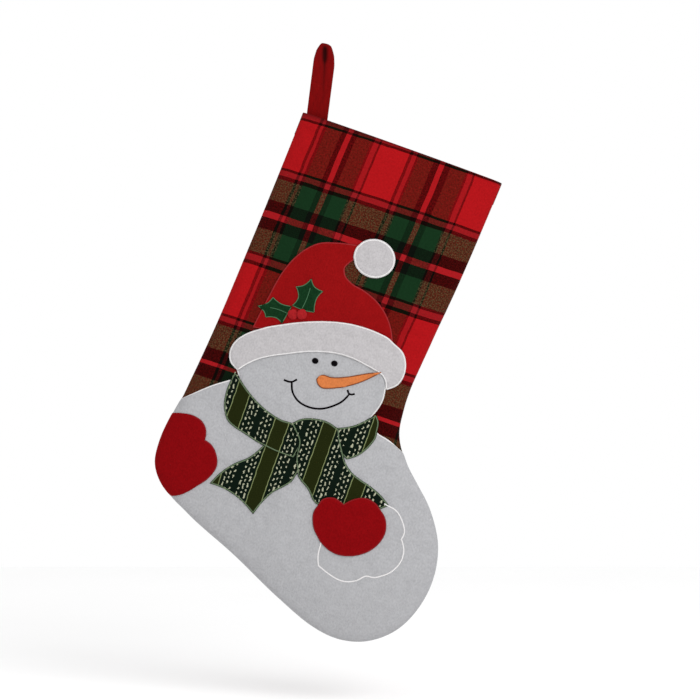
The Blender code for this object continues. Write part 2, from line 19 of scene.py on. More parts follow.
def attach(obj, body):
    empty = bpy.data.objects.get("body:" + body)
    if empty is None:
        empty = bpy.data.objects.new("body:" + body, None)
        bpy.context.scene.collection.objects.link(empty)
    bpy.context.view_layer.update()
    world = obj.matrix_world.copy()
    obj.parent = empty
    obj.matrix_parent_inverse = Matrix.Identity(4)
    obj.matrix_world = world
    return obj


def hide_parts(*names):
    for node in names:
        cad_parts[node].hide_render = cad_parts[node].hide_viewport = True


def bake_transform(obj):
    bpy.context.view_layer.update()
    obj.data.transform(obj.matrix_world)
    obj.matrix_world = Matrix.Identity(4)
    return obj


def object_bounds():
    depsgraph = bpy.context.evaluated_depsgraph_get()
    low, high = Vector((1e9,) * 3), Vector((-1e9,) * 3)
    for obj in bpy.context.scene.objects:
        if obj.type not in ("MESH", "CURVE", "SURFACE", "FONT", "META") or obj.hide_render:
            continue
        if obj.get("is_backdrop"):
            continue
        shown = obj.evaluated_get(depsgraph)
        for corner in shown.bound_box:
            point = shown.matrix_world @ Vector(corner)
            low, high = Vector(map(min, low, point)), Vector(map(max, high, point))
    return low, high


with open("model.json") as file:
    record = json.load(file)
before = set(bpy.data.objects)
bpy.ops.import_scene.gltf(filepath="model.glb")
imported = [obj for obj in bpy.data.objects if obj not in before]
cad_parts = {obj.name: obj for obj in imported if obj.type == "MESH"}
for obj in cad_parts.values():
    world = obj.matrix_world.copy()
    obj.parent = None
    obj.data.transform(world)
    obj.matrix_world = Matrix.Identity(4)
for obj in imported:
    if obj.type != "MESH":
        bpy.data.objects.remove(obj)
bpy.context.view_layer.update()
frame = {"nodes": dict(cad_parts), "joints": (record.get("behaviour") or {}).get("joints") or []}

MM = 0.001
FRONT, BACK = -1, 1

# Where the stocking's plane lies: the mouth's corner above the heel, from the fold's joint
JOINTS = {joint["name"]: joint for joint in frame["joints"]}
FOLD_UV = (14.45, -2.5)
ACROSS = np.array(JOINTS["loop_fold"]["axis"]) / np.linalg.norm(JOINTS["loop_fold"]["axis"])
DEPTHWAYS = np.array((0.0, 1.0, 0.0))
DOWN = np.cross(DEPTHWAYS, ACROSS)
FOLD = np.array(JOINTS["loop_fold"]["pos_m"]) / MM
CORNER = FOLD - FOLD_UV[0] * ACROSS - FOLD_UV[1] * DOWN

# The pillow that the outer cloth starts from: a rounded edge, then a slow rise to the middle
SEAM_RISE = 1.7
EDGE_ROLL = 12.0
EDGE_RISE = 8.0
BULGE = 8.5
BULGE_SPAN = 90.0
WALL = 5.7
WALL_GROWTH = 1.4
WALL_SPAN = 60.0
INNER_EDGE_RISE = 0.4

# The outer cloth's mesh
CLOTH = 0.9
CLOTH_STEP = 3.4
SEAM_STEP = 3.0
RIM_ROWS = (1.0, 2.3, 4.0, 6.2, 9.0)
TURN_IN = ((0.45, 0.85), (1.0, 0.3), (2.0, 0.03))
MOUTH_ROLL = 3.0
FACING_ROWS = (6.0, 10.0, 14.0, 18.0, 21.0, 22.0)

# The lining and the wadding: how far they keep from the seam and the mouth, and their gaps
LINING_TOP = 15.0
LINING_INSET = 2.0
LINING_CLOTH = 0.6
LINING_ROOM = 0.8
FACING_EDGE = 24.0
UNDER_FACING = 1.25
WADDING_TOP = 6.0
WADDING_INSET = 3.2
WADDING_EDGE = 5.0
INNER_STEP = 6.0

# The cloth simulation
SIM_FRAMES = 20
SIM_START = 0.6
SIM_PRESSURE = 5.0
SIM_SLACK = 0.012
SIM_CAP = 4.0
STITCH_PULL = 0.7

# Felt and cloth thicknesses, and the stitched edges
FELT = {
    "snowman_body": 1.5, "hat_crown": 1.2, "face": 1.4, "hat_pompom": 2.2, "hat_brim": 1.8,
    "scarf_tail_left": 1.0, "scarf_collar_left": 1.0, "scarf_collar_right": 1.0, "scarf_knot_tail": 1.0,
    "mitten_left": 1.5, "mitten_right": 1.5, "holly_leaf_upper": 0.9, "holly_leaf_side": 0.9,
    "holly_berry_left": 1.6, "holly_berry_right": 1.6, "eye_left": 0.8, "eye_right": 0.8, "carrot_nose": 1.2,
}
EDGE_SHARES = (0.25, 0.1, 0.0)
TOUCH = 0.06
RELIEF_STEP = 1.0
STITCH_STEP = 0.9
STITCH_SINK = 0.05


def to_row(points):
    """Points (u, v, y) of the stocking's plane, in millimetres, as points of the row frame in metres."""
    points = np.asarray(points, float)
    placed = CORNER + points[:, :1] * ACROSS + points[:, 1:2] * DOWN + points[:, 2:3] * DEPTHWAYS
    return placed * MM


def to_plane(points):
    """The opposite of to_row."""
    away = np.asarray(points, float) / MM - CORNER
    return np.stack((away @ ACROSS, away @ DOWN, away @ DEPTHWAYS), 1)


# Curves and distances in the plane


def smooth(points, step, closed=True, sharp=52.0):
    """Points along a smooth curve through the given ones, with a corner where they turn sharply."""
    points = np.asarray(points, float)
    count = len(points)
    ahead = np.roll(points, -1, 0) - points
    chord = np.linalg.norm(ahead, axis=1)
    unit = ahead / chord[:, None]
    back_unit, back_chord = np.roll(unit, 1, 0), np.roll(chord, 1)
    turn = np.degrees(np.arccos(np.clip((unit * back_unit).sum(1), -1, 1)))
    tangent = (back_unit * chord[:, None] + unit * back_chord[:, None]) / (chord + back_chord)[:, None]
    corner = turn > sharp
    if not closed:
        corner[[0, -1]] = True
    made = []
    for i in range(count if closed else count - 1):
        j = (i + 1) % count
        start = tangent[i] if not corner[i] else None
        end = tangent[j] if not corner[j] else None
        if start is None:
            start = unit[i] * 1.5 - end * 0.5 if end is not None else unit[i]
        if end is None:
            end = unit[i] * 1.5 - start * 0.5 if not corner[i] else unit[i]
        pieces = max(1, round(chord[i] / step))
        t = (np.arange(pieces) / pieces)[:, None]
        made.append(
            points[i] * (2 * t**3 - 3 * t**2 + 1) + start * chord[i] * (t**3 - 2 * t**2 + t)
            + points[j] * (3 * t**2 - 2 * t**3) + end * chord[i] * (t**3 - t**2)
        )
    if not closed:
        made.append(points[-1:])
    return np.concatenate(made)


def nearest(points, path, closed=False):
    """Distances to a path, and the nearest places on it."""
    points = np.asarray(points, float)
    starts = path if closed else path[:-1]
    runs = np.roll(path, -1, 0)[: len(starts)] - starts
    long = np.maximum((runs**2).sum(1), 1e-12)
    best = np.full(len(points), np.inf)
    place = np.zeros((len(points), 2))
    for start, run, square in zip(starts, runs, long):
        share = np.clip(((points - start) @ run) / square, 0, 1)
        on_path = start + share[:, None] * run
        away = ((points - on_path) ** 2).sum(1)
        closer = away < best
        best[closer] = away[closer]
        place[closer] = on_path[closer]
    return np.sqrt(best), place


def distance(points, path, closed=False):
    """Distances to a path."""
    return nearest(points, path, closed)[0]


def inside(points, outline):
    """True for each point that lies in a closed outline."""
    points = np.asarray(points, float)
    hit = np.zeros(len(points), bool)
    for a, b in zip(outline, np.roll(outline, -1, 0)):
        if a[1] == b[1]:
            continue
        crosses = (a[1] > points[:, 1]) != (b[1] > points[:, 1])
        hit ^= crosses & (points[:, 0] < (b[0] - a[0]) * (points[:, 1] - a[1]) / (b[1] - a[1]) + a[0])
    return hit


def normals_of(path, closed):
    """Unit vectors to the left of a path's direction, at each of its points."""
    if closed:
        along = np.roll(path, -1, 0) - np.roll(path, 1, 0)
    else:
        along = np.gradient(path, axis=0)
    along = along / np.maximum(np.linalg.norm(along, axis=1), 1e-9)[:, None]
    return np.stack((-along[:, 1], along[:, 0]), 1)


def inward(path):
    """Unit vectors into a closed outline, at each of its points."""
    normals = normals_of(path, True)
    turn = (path[:, 0] * np.roll(path[:, 1], -1) - np.roll(path[:, 0], -1) * path[:, 1]).sum()
    return normals if turn > 0 else -normals


def spaced(path, step, closed):
    """The same path with its points evenly spaced."""
    if closed:
        path = np.concatenate((path, path[:1]))
    along = np.concatenate(([0.0], np.cumsum(np.linalg.norm(np.diff(path, axis=0), axis=1))))
    count = max(3, round(along[-1] / step))
    marks = np.linspace(0, along[-1], count + 1)
    made = np.stack([np.interp(marks, along, path[:, k]) for k in (0, 1)], 1)
    return made[:-1] if closed else made


def front_outlines(node):
    """The closed outlines of a CAD layer's front face."""
    mesh = frame["nodes"][node].data
    mesh.calc_loop_triangles()
    places = to_plane([v.co for v in mesh.vertices])
    keys = [tuple(p) for p in np.round(places[:, :2], 2)]
    edges = set()
    for triangle in mesh.loop_triangles:
        if triangle.normal.y < -0.02:
            a, b, c = (keys[i] for i in triangle.vertices)
            edges.update(((a, b), (b, c), (c, a)))
    follow = {a: b for a, b in edges if (b, a) not in edges and a != b}
    outlines = []
    while follow:
        first = min(follow)
        outline = [first]
        place = follow.pop(first)
        while place != first and place in follow:
            outline.append(place)
            place = follow.pop(place)
        outlines.append(np.array(outline))
    return outlines


def largest(outlines):
    """The outline with the most points."""
    return max(outlines, key=len)


def seam_path():
    """The seam from the mouth's corner above the heel, round the foot, to the mouth's other corner."""
    outline = largest(front_outlines("front_panel"))
    in_mouth = outline[:, 1] < 0.05
    left = np.argmin(np.where(in_mouth, outline[:, 0], np.inf))
    outline = np.roll(outline, -left, 0)
    if outline[1][1] < 0.05:
        outline = np.roll(outline[::-1], 1, 0)
    right = np.argmax(np.where(outline[:, 1] < 0.05, outline[:, 0], -np.inf))
    return smooth(outline[: right + 1], SEAM_STEP, closed=False)


def off_seam(node, seam):
    """The part of a shape's outline that isn't caught in the seam, with both ends on the seam."""
    outline = largest(front_outlines(node))
    free = distance(outline, seam) > 0.4
    start = next(i for i in range(len(free)) if free[i] and not free[i - 1])
    outline, free = np.roll(outline, -start, 0), np.roll(free, -start)
    count = int(np.argmin(free)) if not free.all() else len(free)
    path = np.concatenate((outline[-1:], outline[: count + 1]))
    return smooth(path, SEAM_STEP, closed=False)


# The pillow


def pillow(depth):
    """Rise of the outer cloth at a distance from the seam."""
    roll = np.minimum(1.0, depth / EDGE_ROLL)
    bulge = np.sin(math.pi / 2 * np.minimum(1.0, depth / BULGE_SPAN))
    return SEAM_RISE + EDGE_RISE * np.sqrt(1 - (1 - roll) ** 2) + BULGE * bulge


def inner_rise(depth):
    """Rise of the wall's inner face."""
    inner = pillow(depth) - WALL - WALL_GROWTH * np.minimum(1.0, depth / WALL_SPAN)
    return np.maximum(INNER_EDGE_RISE, inner)


def unrolled(places, depth, on_seam):
    """Cloth coordinates: the edge's curve unrolled outwards, so that the pattern isn't stretched there."""
    steps = np.linspace(0, EDGE_ROLL, 60)
    lengths = np.hypot(np.diff(steps), np.diff(pillow(steps)))
    to_roll = np.concatenate((np.cumsum(lengths[::-1])[::-1], [0.0]))
    extra = np.interp(depth, steps, to_roll - (EDGE_ROLL - steps), right=0.0)
    out = (on_seam - places) / np.maximum(depth, 1e-6)[:, None]
    return places + out * extra[:, None]


def triangulate(corners, edges, keep):
    """A Delaunay mesh of the plane that follows the given edges, where keep() is true."""
    result = delaunay_2d_cdt([Vector(c) for c in corners], [tuple(map(int, e)) for e in edges], [], 0, 1e-5)
    places = np.array([tuple(p) for p in result[0]])
    triangles = np.array([t for t in result[2] if len(t) == 3])
    new_index = {old: new for new, olds in enumerate(result[3]) for old in olds}
    triangles = triangles[keep(places[triangles].mean(1))]
    return places, triangles, new_index


def free_points(low, high, step):
    """A triangular grid."""
    rows = np.arange(low[1], high[1], step * math.sqrt(0.75))
    columns = np.arange(low[0], high[0], step)
    grid = [(u + step / 2 * (k % 2), v) for k, v in enumerate(rows) for u in columns]
    return np.array(grid)


def thin_near(points, others, room):
    """The points that keep some room from the others."""
    kept = np.ones(len(points), bool)
    for start in range(0, len(points), 500):
        chunk = points[start : start + 500]
        away = np.linalg.norm(chunk[:, None] - others[None], axis=2).min(1)
        kept[start : start + 500] = away > room
    return points[kept]


def inner_row(outline, depth):
    """Points at a depth inside a closed outline, where they don't crowd in its corners."""
    row = outline + inward(outline) * depth
    row = row[inside(row, outline)]
    return row[distance(row, outline, True) > depth * 0.9]


def mesh_inside(outline, rows, step, gap):
    """A mesh of a closed outline, with rows of points inside its edge and a grid some way inside it."""
    grid = free_points(outline.min(0), outline.max(0), step)
    grid = grid[inside(grid, outline)]
    grid = grid[distance(grid, outline, True) > gap]
    edges = [(i, (i + 1) % len(outline)) for i in range(len(outline))]
    keep = lambda centres: inside(centres, outline)
    places, triangles, _ = triangulate(np.concatenate([outline, *rows, grid]), edges, keep)
    return places, triangles


# Making pieces


def mesh_piece(name, points, faces, finish, cloth=None, extra=None, body="stocking"):
    """A smooth mesh in the row frame. Its points keep their places on the flat cloth, in millimetres."""
    mesh = bpy.data.meshes.new(name)
    mesh.from_pydata(to_row(points).tolist(), [], [list(map(int, f)) for f in faces])
    flat = np.zeros((len(points), 3), np.float32)
    flat[:, :2] = points[:, :2] if cloth is None else cloth
    mesh.attributes.new("flat_mm", "FLOAT_VECTOR", "POINT").data.foreach_set("vector", flat.ravel())
    for key, values in (extra or {}).items():
        made = mesh.attributes.new(key, "FLOAT", "POINT")
        made.data.foreach_set("value", np.asarray(values, np.float32))
    mesh.materials.append(finish)
    mesh.shade_smooth()
    mesh.validate()
    piece = bpy.data.objects.new(name, mesh)
    bpy.context.scene.collection.objects.link(piece)
    if body:
        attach(piece, body)
    return piece


def strip(first, second, flip):
    """Quads between two rows of vertex numbers."""
    quads = [(a, b, d, c) for a, b, c, d in zip(first, first[1:], second, second[1:])]
    return [q[::-1] for q in quads] if flip else quads


def borders(triangles):
    """The directed edges that only one triangle has."""
    edges = {(a, b) for t in triangles for a, b in ((t[0], t[1]), (t[1], t[2]), (t[2], t[0]))}
    return [(a, b) for a, b in edges if (b, a) not in edges]


def slab(tops, bottoms, triangles):
    """A closed layer between two sheets that share their triangles, which face the viewer."""
    count = len(tops)
    faces = [tuple(t) for t in triangles]
    faces += [(c + count, b + count, a + count) for a, b, c in triangles]
    faces += [(b, a, a + count, b + count) for a, b in borders(triangles)]
    return np.concatenate((tops, bottoms)), faces


def compact(points, triangles):
    """Only the points that the triangles use."""
    used = np.unique(triangles)
    index = np.full(len(points), -1)
    index[used] = np.arange(len(used))
    return used, index[triangles]


# The outer cloth


class Shell:
    """The outer cloth of one side, with its turned-in edge, its roll over the mouth and its facing."""

    def __init__(self, side, seam, chains, stitched):
        self.side = side
        self.seam = seam
        self.path = self.edge_path()
        self.lay_out(chains)
        self.depth, self.on_seam = nearest(self.places, seam)
        rises = pillow(self.depth) - SIM_START * np.minimum(1.0, self.depth / EDGE_ROLL)
        held = (self.depth < RIM_ROWS[0] + 0.3) | (self.places[:, 1] < MOUTH_ROLL + 0.1)
        rises[held] = pillow(self.depth[held])
        for path, closed in stitched:
            near = distance(self.places, path, closed) < 1.3
            rises[near] -= STITCH_PULL
            held |= near
        points = np.column_stack((self.places, side * rises))
        self.sheet = inflated(points, self.triangles, held)
        self.assemble()

    def edge_path(self):
        """The seam from just below the mouth's roll on one side to the other."""
        middle = len(self.seam) // 2
        left, right = self.seam[:middle], self.seam[middle:][::-1]
        self.left_at = lambda v: np.interp(v, left[:, 1], left[:, 0])
        self.right_at = lambda v: np.interp(v, right[:, 1], right[:, 0])
        kept = self.seam[self.seam[:, 1] > MOUTH_ROLL + 1.0]
        ends = [(self.left_at(MOUTH_ROLL), MOUTH_ROLL)], [(self.right_at(MOUTH_ROLL), MOUTH_ROLL)]
        return np.concatenate((ends[0], kept, ends[1]))

    def lay_out(self, chains):
        """Triangulates the sheet, with rows of points along its edge and along each chain."""
        path = self.path
        across = round((path[-1][0] - path[0][0]) / CLOTH_STEP)
        top = np.linspace(path[-1], path[0], across + 1)[1:-1]
        ring = np.concatenate((path, top))
        corners = [ring]
        edges = [(i, (i + 1) % len(ring)) for i in range(len(ring))]
        into = inward(ring)[: len(path)]
        count = len(ring)
        lines = [ring]
        for chain in chains:
            inner = chain[distance(chain, self.seam) > 1.0]
            ends = [int(np.argmin(np.linalg.norm(path - chain[k], axis=1))) for k in (0, -1)]
            numbers = [ends[0], *range(count, count + len(inner)), ends[1]]
            edges += list(zip(numbers, numbers[1:]))
            corners.append(inner)
            lines.append(inner)
            count += len(inner)
            beside = normals_of(inner, False) * 1.2
            for row in (inner + beside, inner - beside):
                row = row[distance(row, self.seam) > 2.0]
                corners.append(row)
                lines.append(row)
                count += len(row)
        clear = np.concatenate(lines[1:]) if len(lines) > 1 else np.array([(-999.0, 0.0)])
        for depth in RIM_ROWS:
            row = path + into * depth
            row = row[distance(row, self.seam) > depth * 0.93]
            row = row[(row[:, 1] > MOUTH_ROLL + 1.2) & inside(row, ring)]
            corners.append(thin_near(row, clear, 1.0))
        grid = free_points(self.seam.min(0), self.seam.max(0), CLOTH_STEP)
        grid = grid[inside(grid, ring)]
        grid = grid[distance(grid, self.seam) > RIM_ROWS[-1] + CLOTH_STEP * 0.7]
        grid = thin_near(grid[grid[:, 1] > MOUTH_ROLL + 2.4], clear, 1.9)
        corners.append(grid)
        keep = lambda centres: inside(centres, ring)
        self.places, triangles, new_index = triangulate(np.concatenate(corners), edges, keep)
        self.triangles = triangles[:, ::-1] if self.side == FRONT else triangles
        self.rim = [new_index[i] for i in range(len(path))]
        self.top = [self.rim[0]] + [new_index[len(ring) - 1 - i] for i in range(len(top))] + [self.rim[-1]]
        self.into = into

    def assemble(self):
        """Adds the turned-in edge along the seam, and the roll and the facing at the mouth."""
        self.points = [self.sheet]
        self.cloth = [unrolled(self.places, np.maximum(self.depth, 0.02), self.on_seam)]
        self.faces = [tuple(t) for t in self.triangles]
        self.count = len(self.sheet)
        self.turn_in()
        self.outer_count = self.count
        self.outer_faces = list(self.faces)
        self.roll_over()
        self.points = np.concatenate(self.points)
        self.cloth = np.concatenate(self.cloth)

    def add_row(self, last, made, cloth, flip):
        """Adds a row of points joined to the last one, and returns its numbers."""
        row = list(range(self.count, self.count + len(made)))
        self.count += len(made)
        self.faces += strip(last, row, flip)
        self.points.append(made)
        self.cloth.append(cloth)
        return row

    def turn_in(self):
        """The edge turned inwards at the seam, as rows from the sheet's rim to the seam plane."""
        self.rows = [self.rim]
        for inset, rise in TURN_IN:
            made = self.sheet[self.rim]
            made[:, :2] += self.into * inset
            made[:, 2] = self.side * rise
            cloth = self.cloth[0][self.rim] - self.into * (SEAM_RISE - rise)
            self.rows.append(self.add_row(self.rows[-1], made, cloth, self.side == BACK))

    def roll_over(self):
        """The cloth over the mouth's edge, then down inside as the facing."""
        top = self.sheet[self.top]
        outer = np.abs(top[:, 2])
        inner = inner_rise(distance(top[:, :2], self.seam))
        share = (top[:, 0] - top[0, 0]) / (top[-1, 0] - top[0, 0])
        row, last, turned = self.top, top, 0.0
        steps = [("roll", math.pi * k / 7) for k in range(1, 8)] + [("facing", v) for v in FACING_ROWS]
        for kind, value in steps:
            made = top.copy()
            if kind == "roll":
                made[:, 1] = MOUTH_ROLL * (1 - math.sin(value))
                made[:, 2] = self.side * ((outer + inner) / 2 + (outer - inner) / 2 * math.cos(value))
            else:
                left, right = self.left_at(value), self.right_at(value)
                made[:, 0] = left + share * (right - left)
                made[:, 1] = value
                made[:, 2] = self.side * inner_rise(distance(made[:, :2], self.seam))
            turned = turned + np.linalg.norm(made - last, axis=1)
            cloth = self.cloth[0][self.top] - np.column_stack((np.zeros(len(made)), turned))
            row = self.add_row(row, made, cloth, self.side == FRONT)
            last = made

    def outer_normals(self):
        """Unit normals of the sheet and its turned-in edge."""
        return normals_at(self.points[: self.outer_count], self.outer_faces)

    def outline(self):
        """The cloth's cut, as a closed outline: the sheet unrolled, with its facing turned up."""
        over = FACING_ROWS[-1] + 6.0
        ends = [(self.right_at(0.0), -over), (self.left_at(0.0), -over)]
        return np.concatenate((self.path, ends))


def normals_at(points, faces):
    """Unit normals at the points of a mesh."""
    normals = np.zeros_like(points)
    for face in faces:
        corners = points[list(face)]
        normal = np.cross(corners[1] - corners[0], corners[2] - corners[0])
        for i in face:
            normals[i] += normal
    return normals / np.maximum(np.linalg.norm(normals, axis=1), 1e-9)[:, None]


def inflated(points, triangles, held):
    """The sheet after its wadding has pushed it out between the points that are held."""
    mesh = bpy.data.meshes.new("inflating")
    mesh.from_pydata(to_row(points).tolist(), [], triangles.tolist())
    cloth = bpy.data.objects.new("inflating", mesh)
    bpy.context.scene.collection.objects.link(cloth)
    group = cloth.vertex_groups.new(name="held")
    group.add([int(i) for i in np.flatnonzero(held)], 1.0, "REPLACE")
    modifier = cloth.modifiers.new("Cloth", "CLOTH")
    settings = modifier.settings
    settings.quality = 6
    settings.mass = 0.002
    settings.tension_stiffness = settings.compression_stiffness = 8.0
    settings.shear_stiffness = 4.0
    settings.bending_stiffness = 0.4
    settings.shrink_min = -SIM_SLACK
    settings.use_pressure = True
    settings.uniform_pressure_force = SIM_PRESSURE
    settings.vertex_group_mass = "held"
    settings.effector_weights.gravity = 0.0
    modifier.collision_settings.use_collision = False
    modifier.point_cache.frame_start = 1
    modifier.point_cache.frame_end = SIM_FRAMES
    scene = bpy.context.scene
    for number in range(1, SIM_FRAMES + 1):
        scene.frame_set(number)
    evaluated = cloth.evaluated_get(bpy.context.evaluated_depsgraph_get())
    result = to_plane([v.co for v in evaluated.data.vertices])
    scene.frame_set(1)
    bpy.data.objects.remove(cloth)
    move = result - points
    length = np.linalg.norm(move, axis=1)
    return points + move * np.minimum(1.0, SIM_CAP / np.maximum(length, 1e-9))[:, None]


# Heights over the front


class Relief:
    """The rise of the front cloth, and the height of the layers sewn on it, on a square grid."""

    def __init__(self, points, triangles):
        self.low = np.floor(points[:, :2].min(0)) - 4
        high = np.ceil(points[:, :2].max(0)) + 4
        self.shape = tuple(((high - self.low) / RELIEF_STEP).astype(int) + 1)
        tree = BVHTree.FromPolygons(points.tolist(), triangles.tolist())
        towards = Vector((0, 0, 1))
        self.cloth = np.zeros(self.shape)
        for i in range(self.shape[0]):
            for j in range(self.shape[1]):
                u, v = self.low + np.array((i, j)) * RELIEF_STEP
                hit = tree.ray_cast(Vector((u, v, -100)), towards)[0]
                self.cloth[i, j] = -hit.z if hit else 0.0
        self.layers = np.zeros(self.shape)

    def places(self, spans):
        """The grid's places in a window of its cells."""
        (a, b), (c, d) = spans
        grid = np.stack(np.meshgrid(np.arange(a, b), np.arange(c, d), indexing="ij"), 2)
        return grid.reshape(-1, 2) * RELIEF_STEP + self.low

    def cover(self, outline, thickness):
        """Adds a layer inside an outline."""
        low = np.floor((outline.min(0) - self.low) / RELIEF_STEP).astype(int) - 2
        high = np.ceil((outline.max(0) - self.low) / RELIEF_STEP).astype(int) + 3
        spans = [(max(0, a), min(n, b)) for a, b, n in zip(low, high, self.shape)]
        places = self.places(spans)
        away = distance(places, outline, True)
        away[~inside(places, outline)] *= -1
        (a, b), (c, d) = spans
        share = np.clip(0.5 + away / RELIEF_STEP, 0, 1).reshape(b - a, d - c)
        base = self.draped()[a:b, c:d]
        window = self.layers[a:b, c:d]
        self.layers[a:b, c:d] = window * (1 - share) + (base + TOUCH + thickness) * share

    def draped(self, reach=2, blur=1.1):
        """The height at which a cloth laid over the layers rests."""
        top = self.layers
        for _ in range(reach):
            spread = [np.roll(top, k, axis) for axis in (0, 1) for k in (-1, 1)]
            top = np.maximum.reduce([top, *spread])
        return blurred(top, blur)

    def sample(self, grid, places):
        """Bilinear values of a grid."""
        at = (np.asarray(places)[:, :2] - self.low) / RELIEF_STEP
        at = np.clip(at, 0, np.array(self.shape) - 1.001)
        i, j = at.astype(int).T
        s, t = (at - at.astype(int)).T
        return (
            grid[i, j] * (1 - s) * (1 - t) + grid[i + 1, j] * s * (1 - t)
            + grid[i, j + 1] * (1 - s) * t + grid[i + 1, j + 1] * s * t
        )


def blurred(grid, width):
    """A grid smoothed by a Gaussian of that many cells."""
    reach = int(math.ceil(width * 2.5))
    weights = np.exp(-0.5 * (np.arange(-reach, reach + 1) / width) ** 2)
    weights /= weights.sum()
    for axis in (0, 1):
        grid = sum(w * np.roll(grid, k, axis) for w, k in zip(weights, range(-reach, reach + 1)))
    return grid


# Felt shapes and stitched edges


def edge_profile(depth, radius):
    """Share of a felt's full thickness near its cut edge, which is rounded."""
    return 0.4 + 0.6 * np.sqrt(1 - (1 - np.minimum(1.0, depth / radius)) ** 2)


def shape_mesh(outline, step, radius):
    """The mesh of a shape: fine rows along its edge and a grid inside."""
    rows = [inner_row(outline, radius * share) for share in (0.3, 1.0, 2.2)]
    rows[-1] = rows[-1][::2]
    places, triangles = mesh_inside(outline, rows, step, radius * 2.2 + step * 0.5)
    return places, triangles[:, ::-1]


def felt_shape(name, relief, finish, slot, step=3.0, edge_step=1.3, crown=0.0):
    """A piece of felt or cloth laid on whatever is under it."""
    thickness = FELT[name]
    outline = spaced(smooth(largest(front_outlines(name)), edge_step), edge_step, True)
    places, triangles = shape_mesh(outline, step, thickness)
    depth = distance(places, outline, True)
    ground = relief.sample(relief.cloth, places) + relief.sample(relief.draped(), places) + TOUCH
    middle = max(depth.max(), 1e-6)
    swell = crown * np.sin(math.pi / 2 * depth / middle)
    top = ground + thickness * edge_profile(depth, thickness) + swell
    tops, bottoms = (np.column_stack((places, -rise)) for rise in (top, ground))
    points, faces = slab(tops, bottoms, triangles)
    piece = mesh_piece(name + "_felt", points, faces, finish)
    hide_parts(name)
    relief.cover(outline, thickness)
    return piece, outline


def bead(name, path, closed, width, height, relief, finish, slot, inset=0.0):
    """A raised line of satin stitches along a path."""
    path = spaced(path, STITCH_STEP, closed)
    normals = inward(path) if closed else normals_of(path, False)
    path = path + normals * inset
    ground = blurred(relief.layers, 0.7)
    turns = np.linspace(0, math.pi, 6)
    count = len(path)
    along = np.concatenate(([0.0], np.cumsum(np.linalg.norm(np.diff(path, axis=0), axis=1))))
    rows, flats = [], []
    for turn in turns:
        across = width / 2 * math.cos(turn)
        place = path + normals * across
        rise = relief.sample(relief.cloth, place) + relief.sample(ground, place)
        rows.append(np.column_stack((place, -(rise + height * math.sin(turn) - STITCH_SINK))))
        flats.append(np.column_stack((along, np.full(count, across))))
    faces = []
    for k in range(len(turns)):
        m = (k + 1) % len(turns)
        for i in range(count if closed else count - 1):
            j = (i + 1) % count
            faces.append((k * count + i, k * count + j, m * count + j, m * count + i))
    if not closed:
        faces.append([k * count for k in range(len(turns))])
        faces.append([k * count + count - 1 for k in reversed(range(len(turns)))])
    piece = mesh_piece(name, np.concatenate(rows), faces, finish, np.concatenate(flats))
    outward_faces(piece)
    return piece


def outward_faces(piece):
    """Turns a closed mesh's faces outwards."""
    build = bmesh.new()
    build.from_mesh(piece.data)
    bmesh.ops.recalc_face_normals(build, faces=build.faces[:])
    build.to_mesh(piece.data)
    build.free()


# Finishes. Colours are linear, as they look in the studio, which is LIGHT times their albedo

LIGHT = 1.3
STITCH_PITCH = 0.42
THREAD_PAIR = 0.5


